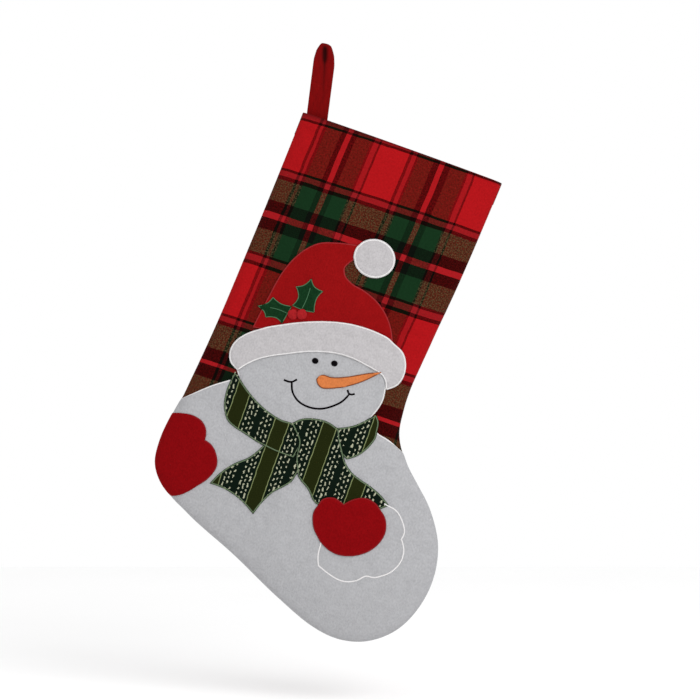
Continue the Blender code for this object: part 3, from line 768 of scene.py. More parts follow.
class Nodes:
    """Builds a material's nodes."""

    def __init__(self, name, roughness=0.9, sheen=0.0, specular=0.03, tint=(1.0, 1.0, 1.0)):
        self.material = bpy.data.materials.new(name)
        self.material.use_nodes = True
        self.tree = self.material.node_tree
        self.shader = self.tree.nodes["Principled BSDF"]
        self.shader.inputs["Roughness"].default_value = roughness
        self.shader.inputs["Specular IOR Level"].default_value = specular
        if sheen:
            self.shader.inputs["Sheen Weight"].default_value = sheen
            self.shader.inputs["Sheen Roughness"].default_value = 0.5
            self.shader.inputs["Sheen Tint"].default_value = (*tint, 1.0)

    def add(self, kind, values=None, output=0, **settings):
        """A node with its inputs fed and its settings made. Gives one of its outputs."""
        node = self.tree.nodes.new(kind)
        for key, value in settings.items():
            setattr(node, key, value)
        for key, value in (values or {}).items():
            self.feed(node.inputs[key], value)
        return node.outputs[output]

    def feed(self, socket, value):
        """Links a node's output to a socket, or sets the socket's own value."""
        if isinstance(value, bpy.types.NodeSocket):
            self.tree.links.new(value, socket)
        elif isinstance(value, tuple) and socket.type == "RGBA":
            socket.default_value = (*value, 1.0)
        else:
            socket.default_value = value

    def math(self, operation, a, b=0.0, c=0.0):
        """A sum of up to three numbers or outputs."""
        return self.add("ShaderNodeMath", {0: a, 1: b, 2: c}, operation=operation)

    def plus(self, a, b):
        return self.math("ADD", a, b)

    def minus(self, a, b):
        return self.math("SUBTRACT", a, b)

    def times(self, a, b):
        return self.math("MULTIPLY", a, b)

    def scaled(self, a, b, c):
        """a times b, plus c."""
        return self.math("MULTIPLY_ADD", a, b, c)

    def mix(self, factor, a, b, blend="MIX"):
        """Two colours mixed."""
        values = {0: factor, 6: a, 7: b}
        return self.add("ShaderNodeMix", values, output=2, data_type="RGBA", blend_type=blend)

    def flat(self):
        """The place on the flat cloth, in millimetres."""
        return self.add("ShaderNodeAttribute", output=1, attribute_name="flat_mm")

    def split(self, vector):
        """A vector's first two numbers."""
        node = self.tree.nodes.new("ShaderNodeSeparateXYZ")
        self.feed(node.inputs[0], vector)
        return node.outputs[0], node.outputs[1]

    def noise(self, place, scale, detail=2.0, stretch=None):
        """Noise from 0 to 1, at a scale per millimetre of cloth."""
        if stretch:
            place = self.add("ShaderNodeMapping", {0: place, 3: stretch})
        return self.add("ShaderNodeTexNoise", {"Vector": place, "Scale": scale, "Detail": detail})

    def bands(self, position, stripes):
        """The colour and tone of stripes laid one after another from position 0."""
        node = self.tree.nodes.new("ShaderNodeValToRGB")
        ramp = node.color_ramp
        ramp.interpolation = "CONSTANT"
        total = sum(width for _, width in stripes)
        self.feed(node.inputs[0], self.math("DIVIDE", position, total))
        start = 0.0
        for k, (yarn, width) in enumerate(stripes):
            colour, tone = YARNS[yarn]
            element = ramp.elements[k] if k < len(ramp.elements) else ramp.elements.new(start / total)
            element.position = start / total
            element.color = (*(c / LIGHT for c in colour), tone)
            start += width
        return node.outputs[0], node.outputs[1]

    def bump(self, height, distance, strength=1.0):
        """Relief on the surface, with a distance in millimetres."""
        values = {"Height": height, "Distance": distance * MM, "Strength": strength}
        self.feed(self.shader.inputs["Normal"], self.add("ShaderNodeBump", values))

    def colour(self, value):
        """Feeds the shader's colour, and gives the finished material."""
        self.feed(self.shader.inputs["Base Color"], value)
        return self.material


def shade(colour, share):
    """A colour's albedo in the studio's light, made darker or lighter."""
    return tuple(c * share / LIGHT for c in colour)


def felt(name, colour, mottle=0.12, sheen=0.12):
    """Pressed wool: short fibres in all directions, with slightly uneven dye."""
    strongest = max(colour)
    nodes = Nodes(name, 0.95, sheen, 0.02, tuple(c / strongest for c in colour))
    flat = nodes.flat()
    cloudy = nodes.noise(flat, 0.13, 3.0)
    tufts = nodes.noise(flat, 0.62, 3.0, (1.0, 0.7, 1.0))
    fibres = nodes.noise(flat, 2.2, 2.0, (0.5, 1.3, 1.0))
    tone = nodes.plus(nodes.times(cloudy, 0.3), nodes.times(tufts, 0.7))
    tone = nodes.add("ShaderNodeMapRange", {0: tone, 1: 0.38, 2: 0.62})
    both = nodes.mix(tone, shade(colour, 1 - mottle), shade(colour, 1 + mottle))
    nodes.bump(nodes.plus(tufts, nodes.times(fibres, 0.5)), 0.55, 0.9)
    return nodes.colour(both)


def satin(name, colour, contrast=0.22, roughness=0.55, specular=0.12):
    """Close stitches of shiny thread, laid across the line."""
    nodes = Nodes(name, roughness, 0.0, specular)
    along, across = nodes.split(nodes.flat())
    wander = nodes.times(nodes.noise(nodes.flat(), 0.8), 0.5)
    slanted = nodes.plus(nodes.plus(along, nodes.times(across, 0.35)), wander)
    wave = nodes.math("SINE", nodes.times(slanted, math.tau / STITCH_PITCH))
    wave = nodes.scaled(wave, 0.5, 0.5)
    nodes.bump(wave, 0.12, 0.8)
    return nodes.colour(nodes.mix(wave, shade(colour, 1 - contrast), shade(colour, 1 + contrast * 0.5)))


# Each yarn's colour and tone. A tartan yarn's tone is its place between black (0) and bright red (1), because
# unlike yarns darken each other; a scarf yarn's is 1 where cream dashes lie over it
YARNS = {
    "red": ((0.405, 0.0066, 0.0092), 1.0),
    "thin": ((0.37, 0.012, 0.016), 0.93),
    "dull": ((0.27, 0.0105, 0.0135), 0.88),
    "line": ((0.01, 0.0012, 0.0012), 0.44),
    "green": ((0.0064, 0.0305, 0.0105), 0.29),
    "black": ((0.0025, 0.0045, 0.0028), 0.0),
    "olive": ((0.0145, 0.0185, 0.0035), 0.0),
    "pale": ((0.2, 0.235, 0.1), 0.0),
    "bottle": ((0.0035, 0.0085, 0.005), 1.0),
}

# The tartan's stripes and their widths: the warp's from the leg's middle outwards, the weft's down from
# above the mouth; past the tables the weft repeats itself mirrored
WARP_MIDDLE = 4.0
WARP = (
    ("red", 17.8), ("line", 2.8), ("dull", 3.5), ("line", 2.5), ("green", 14.4), ("black", 5.3),
    ("thin", 4.9), ("black", 4.7), ("green", 14.8), ("line", 2.2), ("dull", 4.1), ("line", 2.4),
    ("red", 27.6), ("line", 3.0), ("dull", 4.2), ("line", 2.4), ("green", 14.4), ("black", 5.8),
    ("thin", 4.7), ("black", 5.5), ("green", 15.5), ("line", 2.5), ("dull", 4.3), ("line", 2.3),
    ("red", 27.6), ("line", 3.0), ("dull", 4.2), ("line", 2.4), ("green", 14.4), ("black", 5.8),
    ("thin", 20.0),
)
WEFT_START = -45.0
WEFT = (
    ("green", 38.5), ("line", 2.5), ("dull", 8.6), ("line", 2.6), ("red", 47.2), ("line", 2.7),
    ("dull", 5.6), ("line", 2.7), ("green", 21.6), ("black", 11.2), ("thin", 5.8), ("black", 11.4),
    ("green", 22.4), ("line", 3.2), ("dull", 6.4), ("line", 2.9), ("red", 51.2), ("line", 2.5),
    ("dull", 5.9), ("line", 2.9), ("green", 23.0), ("black", 13.0), ("thin", 20.0),
)
WEFT_REPEAT = (251.0, 150.0)
SPECK = (0.125, 0.095, 0.042)
# How far the stripes run off square, for each millimetre along them
WARP_LEAN = 0.055
WEFT_LEAN = 0.027
THREAD = 0.46
TWILL = 3.0


def tartan_yarns(nodes, warp_at, weft_at):
    """The colour and tone of the warp, then of the weft."""
    mirrored = nodes.math("ABSOLUTE", nodes.minus(warp_at, WARP_MIDDLE))
    warp = nodes.bands(nodes.plus(mirrored, WARP_MIDDLE), WARP)
    below = nodes.math("PINGPONG", nodes.minus(weft_at, WEFT_REPEAT[0]), WEFT_REPEAT[1])
    repeated = nodes.math("MINIMUM", weft_at, nodes.minus(WEFT_REPEAT[0], below))
    return (*warp, *nodes.bands(nodes.minus(repeated, WEFT_START), WEFT))


def is_yarn(nodes, tone, yarn):
    """1 where a tone is a yarn's."""
    return nodes.math("COMPARE", tone, YARNS[yarn][1], 0.05)


def tartan_tone(nodes, flat, v, tones):
    """Brightness: less where unlike yarns cross and where dark lines cross green, with painted shade over the
    mouth's fold.
    """
    unlike = nodes.math("ABSOLUTE", nodes.minus(*tones))
    dim = nodes.scaled(unlike, -0.7, 1.0)
    flecks = nodes.scaled(nodes.noise(flat, 0.6, 2.0), 4.0, -1.5)
    speckled = nodes.scaled(nodes.minus(flecks, 0.5), nodes.times(unlike, 0.6), 1.0)
    grain = nodes.times(speckled, nodes.scaled(nodes.noise(flat, 0.5, 3.0), 0.5, 0.75))
    lines, greens = (
        nodes.plus(*(is_yarn(nodes, tone, yarn) for tone in tones)) for yarn in ("line", "green")
    )
    darker = nodes.scaled(nodes.times(lines, greens), -0.55, 1.0)
    # Painted shade: darkest over the roll at the mouth and on the facing inside, fading out just below the
    # mouth
    mouth_fold_shade = nodes.add("ShaderNodeMapRange", {0: v, 1: -0.5, 2: 4.5, 3: 0.45, 4: 1.0})
    return nodes.times(nodes.times(dim, grain), nodes.times(darker, mouth_fold_shade))


def tartan_specks(nodes, flat, tones):
    """How much ochre shows: in specks, where green weft crosses red warp."""
    mottled = nodes.times(is_yarn(nodes, tones[1], "green"), nodes.math("GREATER_THAN", tones[0], 0.4))
    specks = nodes.add("ShaderNodeMapRange", {0: nodes.noise(flat, 0.78, 1.0), 1: 0.47, 2: 0.62})
    return nodes.times(mottled, nodes.times(specks, 0.5))


def tartan():
    """A red, green and black twill whose weft passes over two threads of the warp and under one."""
    nodes = Nodes("tartan_twill", 0.95, 0.03, 0.02, (1.0, 0.3, 0.25))
    flat = nodes.flat()
    u, v = nodes.split(flat)
    wobble = nodes.scaled(nodes.noise(flat, 0.05), 1.4, -0.7)
    warp_at = nodes.plus(nodes.scaled(nodes.minus(v, 20.0), WARP_LEAN, u), wobble)
    weft_at = nodes.plus(nodes.scaled(u, WEFT_LEAN, v), wobble)
    warp, warp_tone, weft, weft_tone = tartan_yarns(nodes, warp_at, weft_at)
    tones = (warp_tone, weft_tone)
    column, row = (nodes.math("DIVIDE", place, THREAD) for place in (warp_at, weft_at))
    step = nodes.plus(nodes.math("FLOOR", column), nodes.math("FLOOR", row))
    over = nodes.math("LESS_THAN", nodes.math("FLOORED_MODULO", step, TWILL), 0.9)
    colour = nodes.mix(over, weft, warp)
    colour = nodes.mix(1.0, colour, tartan_tone(nodes, flat, v, tones), "MULTIPLY")
    colour = nodes.mix(tartan_specks(nodes, flat, tones), colour, shade(SPECK, 1.0))
    ridge = nodes.math("PINGPONG", nodes.add("ShaderNodeMix", {0: over, 2: row, 3: column}), 0.5)
    nodes.bump(nodes.plus(ridge, nodes.times(over, 0.25)), 0.2, 0.6)
    return nodes.colour(colour)


# The scarf's stripes, which mirror about its centre, and its dashes
SCARF = (("olive", 6.3), ("pale", 0.8), ("bottle", 14.6))
SCARF_CENTRE = 37.0
DASH_COLUMNS = (10.3, 13.9, 17.8)
DASH_WIDTH = 1.3
DASH_PITCH = 5.4
CREAM = (0.42, 0.43, 0.3)


def dash_column(nodes, flat, v, away, number, k):
    """1 in the uneven dashes of one column in each stripe."""
    sideways = nodes.scaled(nodes.noise(flat, 0.23 + 0.03 * k), 3.2, -1.6)
    aside = nodes.math("ABSOLUTE", nodes.minus(nodes.plus(away, sideways), DASH_COLUMNS[k]))
    rough = nodes.scaled(nodes.noise(flat, 0.9), 1.5, -0.75)
    in_column = nodes.math("LESS_THAN", nodes.plus(aside, rough), DASH_WIDTH / 2)
    shift = nodes.scaled(number, 0.37, 0.43 * k)
    uneven = nodes.times(nodes.noise(flat, 0.19), 1.6)
    phase = nodes.plus(nodes.plus(nodes.math("DIVIDE", v, DASH_PITCH), shift), uneven)
    return nodes.times(in_column, nodes.math("LESS_THAN", nodes.math("FRACT", phase), 0.46))


def scarf_cloth():
    """Dark green cloth with olive bands, thin pale lines and columns of cream dashes."""
    nodes = Nodes("scarf_weave", 0.9, 0.0, 0.03)
    flat = nodes.flat()
    u, v = nodes.split(flat)
    wobble = nodes.scaled(nodes.noise(flat, 0.12), 1.6, -0.8)
    at = nodes.minus(nodes.plus(u, wobble), SCARF_CENTRE)
    period = sum(width for _, width in SCARF)
    away = nodes.math("PINGPONG", at, period)
    base, ground = nodes.bands(away, SCARF)
    number = nodes.math("FLOOR", nodes.math("DIVIDE", at, period))
    dashes = 0.0
    for k in range(len(DASH_COLUMNS)):
        dashes = nodes.math("MAXIMUM", dashes, dash_column(nodes, flat, v, away, number, k))
    dashes = nodes.times(dashes, ground)
    rib = nodes.math("PINGPONG", nodes.math("DIVIDE", nodes.plus(u, nodes.times(v, 0.4)), 0.9), 0.5)
    tone = nodes.scaled(nodes.plus(rib, nodes.noise(flat, 1.1, 3.0)), 1.1, 0.2)
    colour = nodes.mix(1.0, nodes.mix(dashes, base, shade(CREAM, 1.0)), tone, "MULTIPLY")
    nodes.bump(nodes.plus(rib, nodes.times(dashes, 0.8)), 0.25, 0.7)
    return nodes.colour(colour)


def ribbon_weave(name, colour):
    """A matt ribbon with fine ribs across it, and painted shade in the groove along its fold."""
    nodes = Nodes(name, 0.85, 0.0, 0.06)
    flat = nodes.flat()
    u, v = nodes.split(flat)
    groove_shade = nodes.add("ShaderNodeAttribute", output=2, attribute_name="groove_shade")
    rib = nodes.math("PINGPONG", nodes.math("DIVIDE", v, 0.55), 0.5)
    warp = nodes.math("PINGPONG", nodes.math("DIVIDE", u, 0.45), 0.5)
    cloudy = nodes.noise(flat, 0.35, 3.0, (1.0, 0.3, 1.0))
    tone = nodes.scaled(nodes.plus(rib, cloudy), 0.7, 0.5)
    # Painted shade: darker in the groove where the ribbon folds, by the amount stored on each point
    dark = nodes.scaled(groove_shade, -0.85, 1.0)
    colour_now = nodes.mix(1.0, shade(colour, 1.0), nodes.times(tone, dark), "MULTIPLY")
    nodes.bump(nodes.plus(rib, nodes.times(warp, 0.4)), 0.18, 0.7)
    return nodes.colour(colour_now)


def plain_weave(name, colour):
    """Thin plain-woven lining cloth."""
    nodes = Nodes(name, 0.85, 0.15, 0.1)
    flat = nodes.flat()
    turns = (nodes.times(place, math.tau / THREAD_PAIR) for place in nodes.split(flat))
    warp, weft = (nodes.math("SINE", turn) for turn in turns)
    weave = nodes.scaled(nodes.times(warp, weft), 0.5, 0.5)
    cloudy = nodes.noise(flat, 0.3, 3.0)
    tone = nodes.plus(nodes.times(weave, 0.3), nodes.times(cloudy, 0.7))
    nodes.bump(weave, 0.15, 0.6)
    return nodes.colour(nodes.mix(tone, shade(colour, 0.8), shade(colour, 1.1)))


# The colour, mottle and sheen of each felt
FELTS = {
    "snow": ((0.45, 0.45, 0.465), 0.085),
    "brim": ((0.52, 0.5, 0.51), 0.085),
    "hat": ((0.275, 0.0052, 0.006), 0.09),
    "mitten": ((0.235, 0.0028, 0.0045), 0.1),
    "holly": ((0.0065, 0.034, 0.0115), 0.2, 0.03),
    "berry": ((0.37, 0.015, 0.018), 0.15),
    "carrot": ((0.65, 0.2, 0.062), 0.1, 0.15),
}

# The colour, contrast, roughness and specular level of each thread
THREADS = {
    "white": ((0.92, 0.9, 0.9), 0.12),
    "black": ((0.004, 0.003, 0.004), 0.22, 0.85, 0.01),
    "hat": ((0.37, 0.022, 0.026),),
    "mitten": ((0.28, 0.008, 0.012),),
    "holly": ((0.075, 0.2, 0.1),),
    "carrot": ((0.27, 0.065, 0.014),),
    "scarf": ((0.14, 0.2, 0.11),),
}
RIBBON = (0.176, 0.0010, 0.0012)
LINING = (0.5, 0.48, 0.44)
WADDING = (0.75, 0.75, 0.73)


def finishes():
    """Each material by its short name."""
    made = {name: felt(name + "_felt_fibres", *look) for name, look in FELTS.items()}
    made.update({name + "_thread": satin(name + "_satin_stitch", *look) for name, look in THREADS.items()})
    made["tartan"] = tartan()
    made["scarf"] = scarf_cloth()
    made["wadding"] = felt("wadding_fibres", WADDING, 0.1)
    made["lining"] = plain_weave("lining_weave", LINING)
    made["ribbon"] = ribbon_weave("ribbon_ribs", RIBBON)
    made["ribbon_thread"] = satin("ribbon_bartack_stitch", RIBBON)
    return made


# The bag


def bag_piece(shell, word, finish):
    """The outer cloth of one side as a sheet with its real thickness."""
    piece = mesh_piece(word + "_cloth", shell.points, shell.faces, finish["tartan"], shell.cloth)
    settle_normals(piece, shell.side)
    thicken(piece, CLOTH)
    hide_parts(word + "_panel", word + "_hem_facing")
    shell.outline()


def settle_normals(piece, side):
    """Turns an open sheet's faces the same way, outwards on its side."""
    outward_faces(piece)
    polygons = piece.data.polygons
    facing = sum(p.normal.y * p.area for p in polygons if p.area > 0)
    if facing * side < 0:
        piece.data.flip_normals()


def thicken(piece, thickness):
    """Gives an open sheet a thickness inwards, and applies it."""
    modifier = piece.modifiers.new("Thickness", "SOLIDIFY")
    modifier.thickness = thickness * MM
    modifier.offset = -1.0
    evaluated = piece.evaluated_get(bpy.context.evaluated_depsgraph_get())
    mesh = bpy.data.meshes.new_from_object(evaluated)
    piece.modifiers.clear()
    piece.data = mesh
    mesh.name = piece.name


def lining_rise(places, seam):
    """The lining's inner face: under the facing near the mouth, then the wall's inner face."""
    under = np.clip((FACING_EDGE - places[:, 1]) / 2.0, 0, 1)
    depth = distance(places, seam)
    at_edge = np.maximum(0.04, np.minimum(depth, 2.6) * 0.12 - 0.2)
    return at_edge + np.maximum(0.0, inner_rise(depth) - 0.35) + UNDER_FACING * under


def inner_sheet(seam, inset, top):
    """A coarser mesh of the bag's shape, some way inside its seam and its mouth."""
    path = spaced(seam, INNER_STEP, False)
    path = path - normals_of(path, False) * inset
    path = path[path[:, 1] > top + 1.0]
    left = np.interp(top, path[:8, 1], path[:8, 0])
    right = np.interp(top, path[-8:][::-1, 1], path[-8:][::-1, 0])
    across = max(2, round((right - left) / INNER_STEP))
    row = np.column_stack((np.linspace(right, left, across + 1), np.full(across + 1, top)))
    ring = np.concatenate((path, row))
    rows = [inner_row(ring, depth) for depth in (1.5, 4.0)]
    return *mesh_inside(ring, rows, INNER_STEP, 4.0 + INNER_STEP * 0.5), ring


def inner_layer(shell, name, places, triangles, outer, inner, finish):
    """A closed layer inside the bag, between two rises from the seam plane."""
    tops, bottoms = (np.column_stack((places, shell.side * rise)) for rise in (outer, inner))
    triangles = triangles[:, ::-1] if shell.side == FRONT else triangles
    points, faces = slab(tops, bottoms, triangles)
    piece = mesh_piece(name, points, faces, finish, np.tile(places, (2, 1)))
    outward_faces(piece)
    return piece


def lining_piece(shell, word, finish):
    """The lining of one side, from under the facing down to the seam."""
    places, triangles, ring = inner_sheet(shell.seam, LINING_INSET, LINING_TOP)
    inner = lining_rise(places, shell.seam)
    name = word + "_lining_cloth"
    piece = inner_layer(shell, name, places, triangles, inner + LINING_CLOTH, inner, finish["lining"])
    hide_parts(word + "_lining")


def wadding_piece(shell, word, finish):
    """The wadding between the outer cloth and the lining, thin at its edge."""
    places, triangles, ring = inner_sheet(shell.seam, WADDING_INSET, WADDING_TOP)
    depth = distance(places, ring, True)
    points_3d = np.column_stack((shell.sheet[:, :2], np.abs(shell.sheet[:, 2])))
    tree = BVHTree.FromPolygons(points_3d.tolist(), shell.triangles.tolist())
    hits = [tree.ray_cast(Vector((u, v, -50.0)), Vector((0, 0, 1)))[0] for u, v in places]
    outer = np.array([hit.z if hit else 2.0 for hit in hits]) - CLOTH - 0.5
    inner = lining_rise(places, shell.seam) + LINING_ROOM
    middle = (outer + inner) / 2
    rounded = np.sqrt(1 - (1 - np.minimum(1.0, (depth + 0.2) / WADDING_EDGE)) ** 2)
    half = np.maximum(0.1, (outer - inner) / 2) * rounded
    name = word + "_wadding_pad"
    piece = inner_layer(shell, name, places, triangles, middle + half, middle - half, finish["wadding"])
    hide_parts(word + "_wadding")


def cut_region(path, far):
    """A closed outline from an open path across the bag and far corners round the rest."""
    return np.concatenate((path, np.array(far, float)))


def rising(path, axis):
    """The path in the direction in which that coordinate grows from end to end."""
    return path if path[0][axis] < path[-1][axis] else path[::-1]


def caught_triangles(shell, outline):
    """The triangles of the outer cloth and its turned-in edge, inside an outline."""
    centres = shell.sheet[shell.triangles][:, :, :2].mean(1)
    triangles = shell.triangles[inside(centres, outline)]
    used = set(np.unique(triangles).tolist())
    extra = []
    for first, second in zip(shell.rows, shell.rows[1:]):
        for i in range(len(shell.rim) - 1):
            if shell.rim[i] in used and shell.rim[i + 1] in used:
                a, b, c, d = first[i], first[i + 1], second[i], second[i + 1]
                extra += [(a, c, d), (a, d, b)]
    extra = np.array(extra)
    corner = extra[0][0]
    sample = normals_at(shell.points[: shell.outer_count], extra[:1])[corner]
    if sample @ shell.outer_normals()[corner] < 0:
        extra = extra[:, ::-1]
    return np.concatenate((triangles, extra))


def caught_felt(shell, name, outline, path, lift, finish):
    """A felt layer over part of the outer cloth, caught in the seam with it."""
    thickness = FELT[name]
    ground = shell.points[: shell.outer_count]
    depth = np.concatenate((shell.depth, np.zeros(len(ground) - len(shell.sheet))))
    share = np.minimum(1.0, 0.4 + 0.6 * depth / 3.5)
    for row, amount in zip(shell.rows[1:], EDGE_SHARES):
        share[row] = amount
    rounded = edge_profile(distance(ground[:, :2], path), 1.2)
    over = TOUCH + lift * share
    outwards = shell.outer_normals()
    tops = ground + outwards * (over + thickness * share * rounded)[:, None]
    bottoms = ground + outwards * (over * np.minimum(1.0, share * 2))[:, None]
    used, triangles = compact(tops, caught_triangles(shell, outline))
    points, faces = slab(tops[used], bottoms[used], triangles)
    flat = shell.cloth[: shell.outer_count][used]
    piece = mesh_piece(name + "_felt", points, faces, finish, np.tile(flat, (2, 1)))
    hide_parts(name)


# The ribbon loop. Drops are measured down from the hook, rises from the loop's mid-plane

HOOK_RADIUS = 4.2
PLY = 1.6
LEAN = math.tan(math.radians(12.3))
HALF_WIDTH = 10.25
CUT_DROP = 36.0
SPREAD_END = 56.0
ROOT_RISE = 1.0
TAIL_RISE = 0.75
# How far the top falls away, at places from the ribbon's middle to its edge
TOP_DROPS = ((0.0, 2.0, 4.8, 6.6, 8.9, 10.1, 10.4), (0.0, 0.15, 1.2, 4.0, 9.0, 15.5, 18.0))
GROOVE_AT = -1.2
GROOVE_LEAN = 0.1
# The place the ribbon hangs from, at the hook, in the stocking's plane
HANG = to_plane(np.array([[0.0, 0.0, 0.0]]))[0]


def leg_rise(drop):
    """Distance of a leg's middle from the loop's mid-plane."""
    top = HOOK_RADIUS + PLY / 2
    share = np.clip((drop - 9.0) / (SPREAD_END - 9.0), 0, 1)
    return top + (ROOT_RISE - top) * share


def groove(across, drop):
    """Depth of the fold line where the ribbon's two edges meet, and how much painted shade darkens it."""
    centre = GROOVE_AT + GROOVE_LEAN * drop
    opening = np.exp(-(((drop - 8.5) / 7.5) ** 4))
    fading = np.clip((54.0 - drop) / 40.0, 0, 1) * np.clip((drop - 1.0) / 3.0, 0, 1)
    wide = np.exp(-(((across - centre) / 2.8) ** 2)) * opening
    thin = np.exp(-(((across - centre) / 1.2) ** 2)) * fading
    return 2.0 * wide + 0.6 * thin, np.clip(0.97 * wide + 0.75 * thin, 0, 1)


def ribbon_points(across, drop, rise):
    """Points of the leaning ribbon, from places across it, below the hook and off its mid-plane."""
    u = HANG[0] + across + drop * LEAN
    return np.column_stack((u, HANG[1] + drop, rise))


def ribbon_strip(name, rows, finish):
    """A closed ribbon from rows of (across, drop, rise, outward drop, outward rise) arrays."""
    outer, inner, dark, flat = [], [], [], []
    travel = 0.0
    last = None
    for across, drop, rise, out_drop, out_rise in rows:
        depth, groove_shade = groove(across, np.maximum(drop, 0.0))
        half = PLY / 2 * (1 - 0.55 * (np.abs(across) / HALF_WIDTH) ** 10)
        lift, sink = half - depth, half + np.minimum(depth, PLY)
        outer.append(ribbon_points(across, drop + out_drop * lift, rise + out_rise * lift))
        inner.append(ribbon_points(across, drop - out_drop * sink, rise - out_rise * sink))
        middle = np.column_stack((drop, rise))
        if last is not None:
            travel = travel + np.linalg.norm(middle - last, axis=1)
        last = middle
        flat.append(np.column_stack((across, np.broadcast_to(travel, across.shape))))
        dark.append(groove_shade)
    count, ring = len(outer), 2 * len(outer[0])
    points = np.concatenate([np.concatenate((o, i[::-1])) for o, i in zip(outer, inner)])
    flats = np.concatenate([np.concatenate((f, f[::-1])) for f in flat])
    # Painted shade of the groove for each point, on the outer face only
    painted_shades = np.concatenate([np.concatenate((d, d[::-1] * 0)) for d in dark])
    faces = []
    for r in range(count - 1):
        for c in range(ring):
            n = (c + 1) % ring
            faces.append((r * ring + c, r * ring + n, (r + 1) * ring + n, (r + 1) * ring + c))
    faces.append(list(range(ring)))
    faces.append([(count - 1) * ring + c for c in reversed(range(ring))])
    piece = mesh_piece(name, points, faces, finish, flats, {"groove_shade": painted_shades}, body=None)
    outward_faces(piece)
    for polygon in piece.data.polygons:
        polygon.use_smooth = len(polygon.vertices) == 4
    return piece


def across_places():
    """Places across the ribbon, closer together near its edges."""
    crowded = np.sin(np.linspace(-math.pi / 2, math.pi / 2, 31))
    return HALF_WIDTH * crowded * 0.5 + np.linspace(-1, 1, 31) * HALF_WIDTH * 0.5


def straight_row(across, drop, rise, side, facing=1.0):
    """A row of a leg, which faces outwards on its side."""
    return across, drop, side * rise, np.zeros_like(drop), np.full_like(drop, side * facing)


def over_hook_rows():
    """Rows over the hook, from the front leg's cut to the back leg's, each end tucked into its leg."""
    across = across_places()
    top = np.interp(np.abs(across), *TOP_DROPS)
    radius = leg_rise(top + HOOK_RADIUS)
    start = top + radius - PLY / 2

    def leg(shares, side):
        """Rows between the curve over the hook and the cut."""
        drops = [start + (CUT_DROP - start) * share for share in shares]
        return [straight_row(across, drop, leg_rise(drop), side) for drop in drops]

    def tuck(side):
        """A row just past the cut, inside the leg that goes on below."""
        drop = np.full(len(across), CUT_DROP + 1.0)
        return straight_row(across * 0.98, drop, leg_rise(drop), side, 0.8)

    rows = [tuck(FRONT)] + leg(np.linspace(1, 0, 16)[:-1], FRONT)
    for turn in np.linspace(0, math.pi, 15):
        out_drop, out_rise = (np.full(len(across), -out(turn)) for out in (math.sin, math.cos))
        rows.append((across, start - radius * math.sin(turn), -radius * math.cos(turn), out_drop, out_rise))
    return rows + leg(np.linspace(0, 1, 16)[1:], BACK) + [tuck(BACK)]


def leg_rows(side):
    """Rows of one leg from the cut, through the fold, to its sewn end inside the mouth."""
    across = across_places()
    bottom = -HANG[1] + 16.5
    rows = []
    for drop in np.concatenate((np.arange(CUT_DROP, 60.0, 3.0), np.arange(60.0, bottom, 1.5))):
        drops = np.full(len(across), drop)
        low = np.clip((drop - 60.0) / 6.0, 0, 1)
        rise = leg_rise(drops) * (1 - low) + TAIL_RISE * low
        narrow = 1 - 0.1 * np.clip((drop - 66.0) / 4.0, 0, 1)
        rows.append(straight_row(across * narrow, drops, rise, side))
    return rows


def bend(piece):
    """Bakes a piece's placement into its mesh."""
    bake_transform(piece)


def ribbon_loop(finish):
    """The ribbon over the hook, and its two legs, which run down past the fold into the mouth."""
    over = ribbon_strip("loop_over_hook", over_hook_rows(), finish["ribbon"])
    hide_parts("loop_bight")
    bend(over)
    for name, side, node in (("loop_front_leg", FRONT, "loop_legs"), ("loop_back_leg", BACK, "loop_tail")):
        leg = ribbon_strip(name, leg_rows(side), finish["ribbon"])
        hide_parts(node)
        bend(leg)
    bar = frame["nodes"]["loop_bartack"]
    bar.data.materials.clear()
    bar.data.materials.append(finish["ribbon_thread"])


# The studio


VIEW_CENTRE = Vector((0.0222, 0.0, -0.2867))
VIEW_WIDTH = 0.6521
CAMERA_DISTANCE = 2.5
SENSOR = 36.0
KEY_PLACE = Vector((0.8, -1.45, 0.8))
KEY_POWER = 15.5
KEY_SIZE = 0.9
FLOOR_HEIGHT = -0.62
FLOOR_HALF = 1.6


def studio():
    """A pale floor, soft light all round with a key from the upper right, and the camera in front."""
    scene = bpy.context.scene
    scene.view_settings.view_transform = "Standard"
    world = bpy.data.worlds.new("studio")
    world.use_nodes = True
    world.node_tree.nodes["Background"].inputs["Color"].default_value = (1.0, 1.0, 1.0, 1.0)
    world.node_tree.nodes["Background"].inputs["Strength"].default_value = 1.0
    scene.world = world
    place_camera()
    place_floor()
    key = bpy.data.lights.new("key", "AREA")
    key.energy = KEY_POWER
    key.size = KEY_SIZE
    made = bpy.data.objects.new("key", key)
    made.location = VIEW_CENTRE + KEY_PLACE
    made.rotation_euler = (-KEY_PLACE).to_track_quat("-Z", "Y").to_euler()
    scene.collection.objects.link(made)


def place_camera():
    """The camera, level and straight in front of the stocking."""
    camera = bpy.data.cameras.new("camera")
    camera.sensor_width = SENSOR
    camera.lens = SENSOR * CAMERA_DISTANCE / VIEW_WIDTH
    made = bpy.data.objects.new("camera", camera)
    made.location = (VIEW_CENTRE.x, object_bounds()[0].y - CAMERA_DISTANCE, VIEW_CENTRE.z)
    made.rotation_euler = (math.pi / 2, 0.0, 0.0)
    bpy.context.scene.collection.objects.link(made)
    bpy.context.scene.camera = made


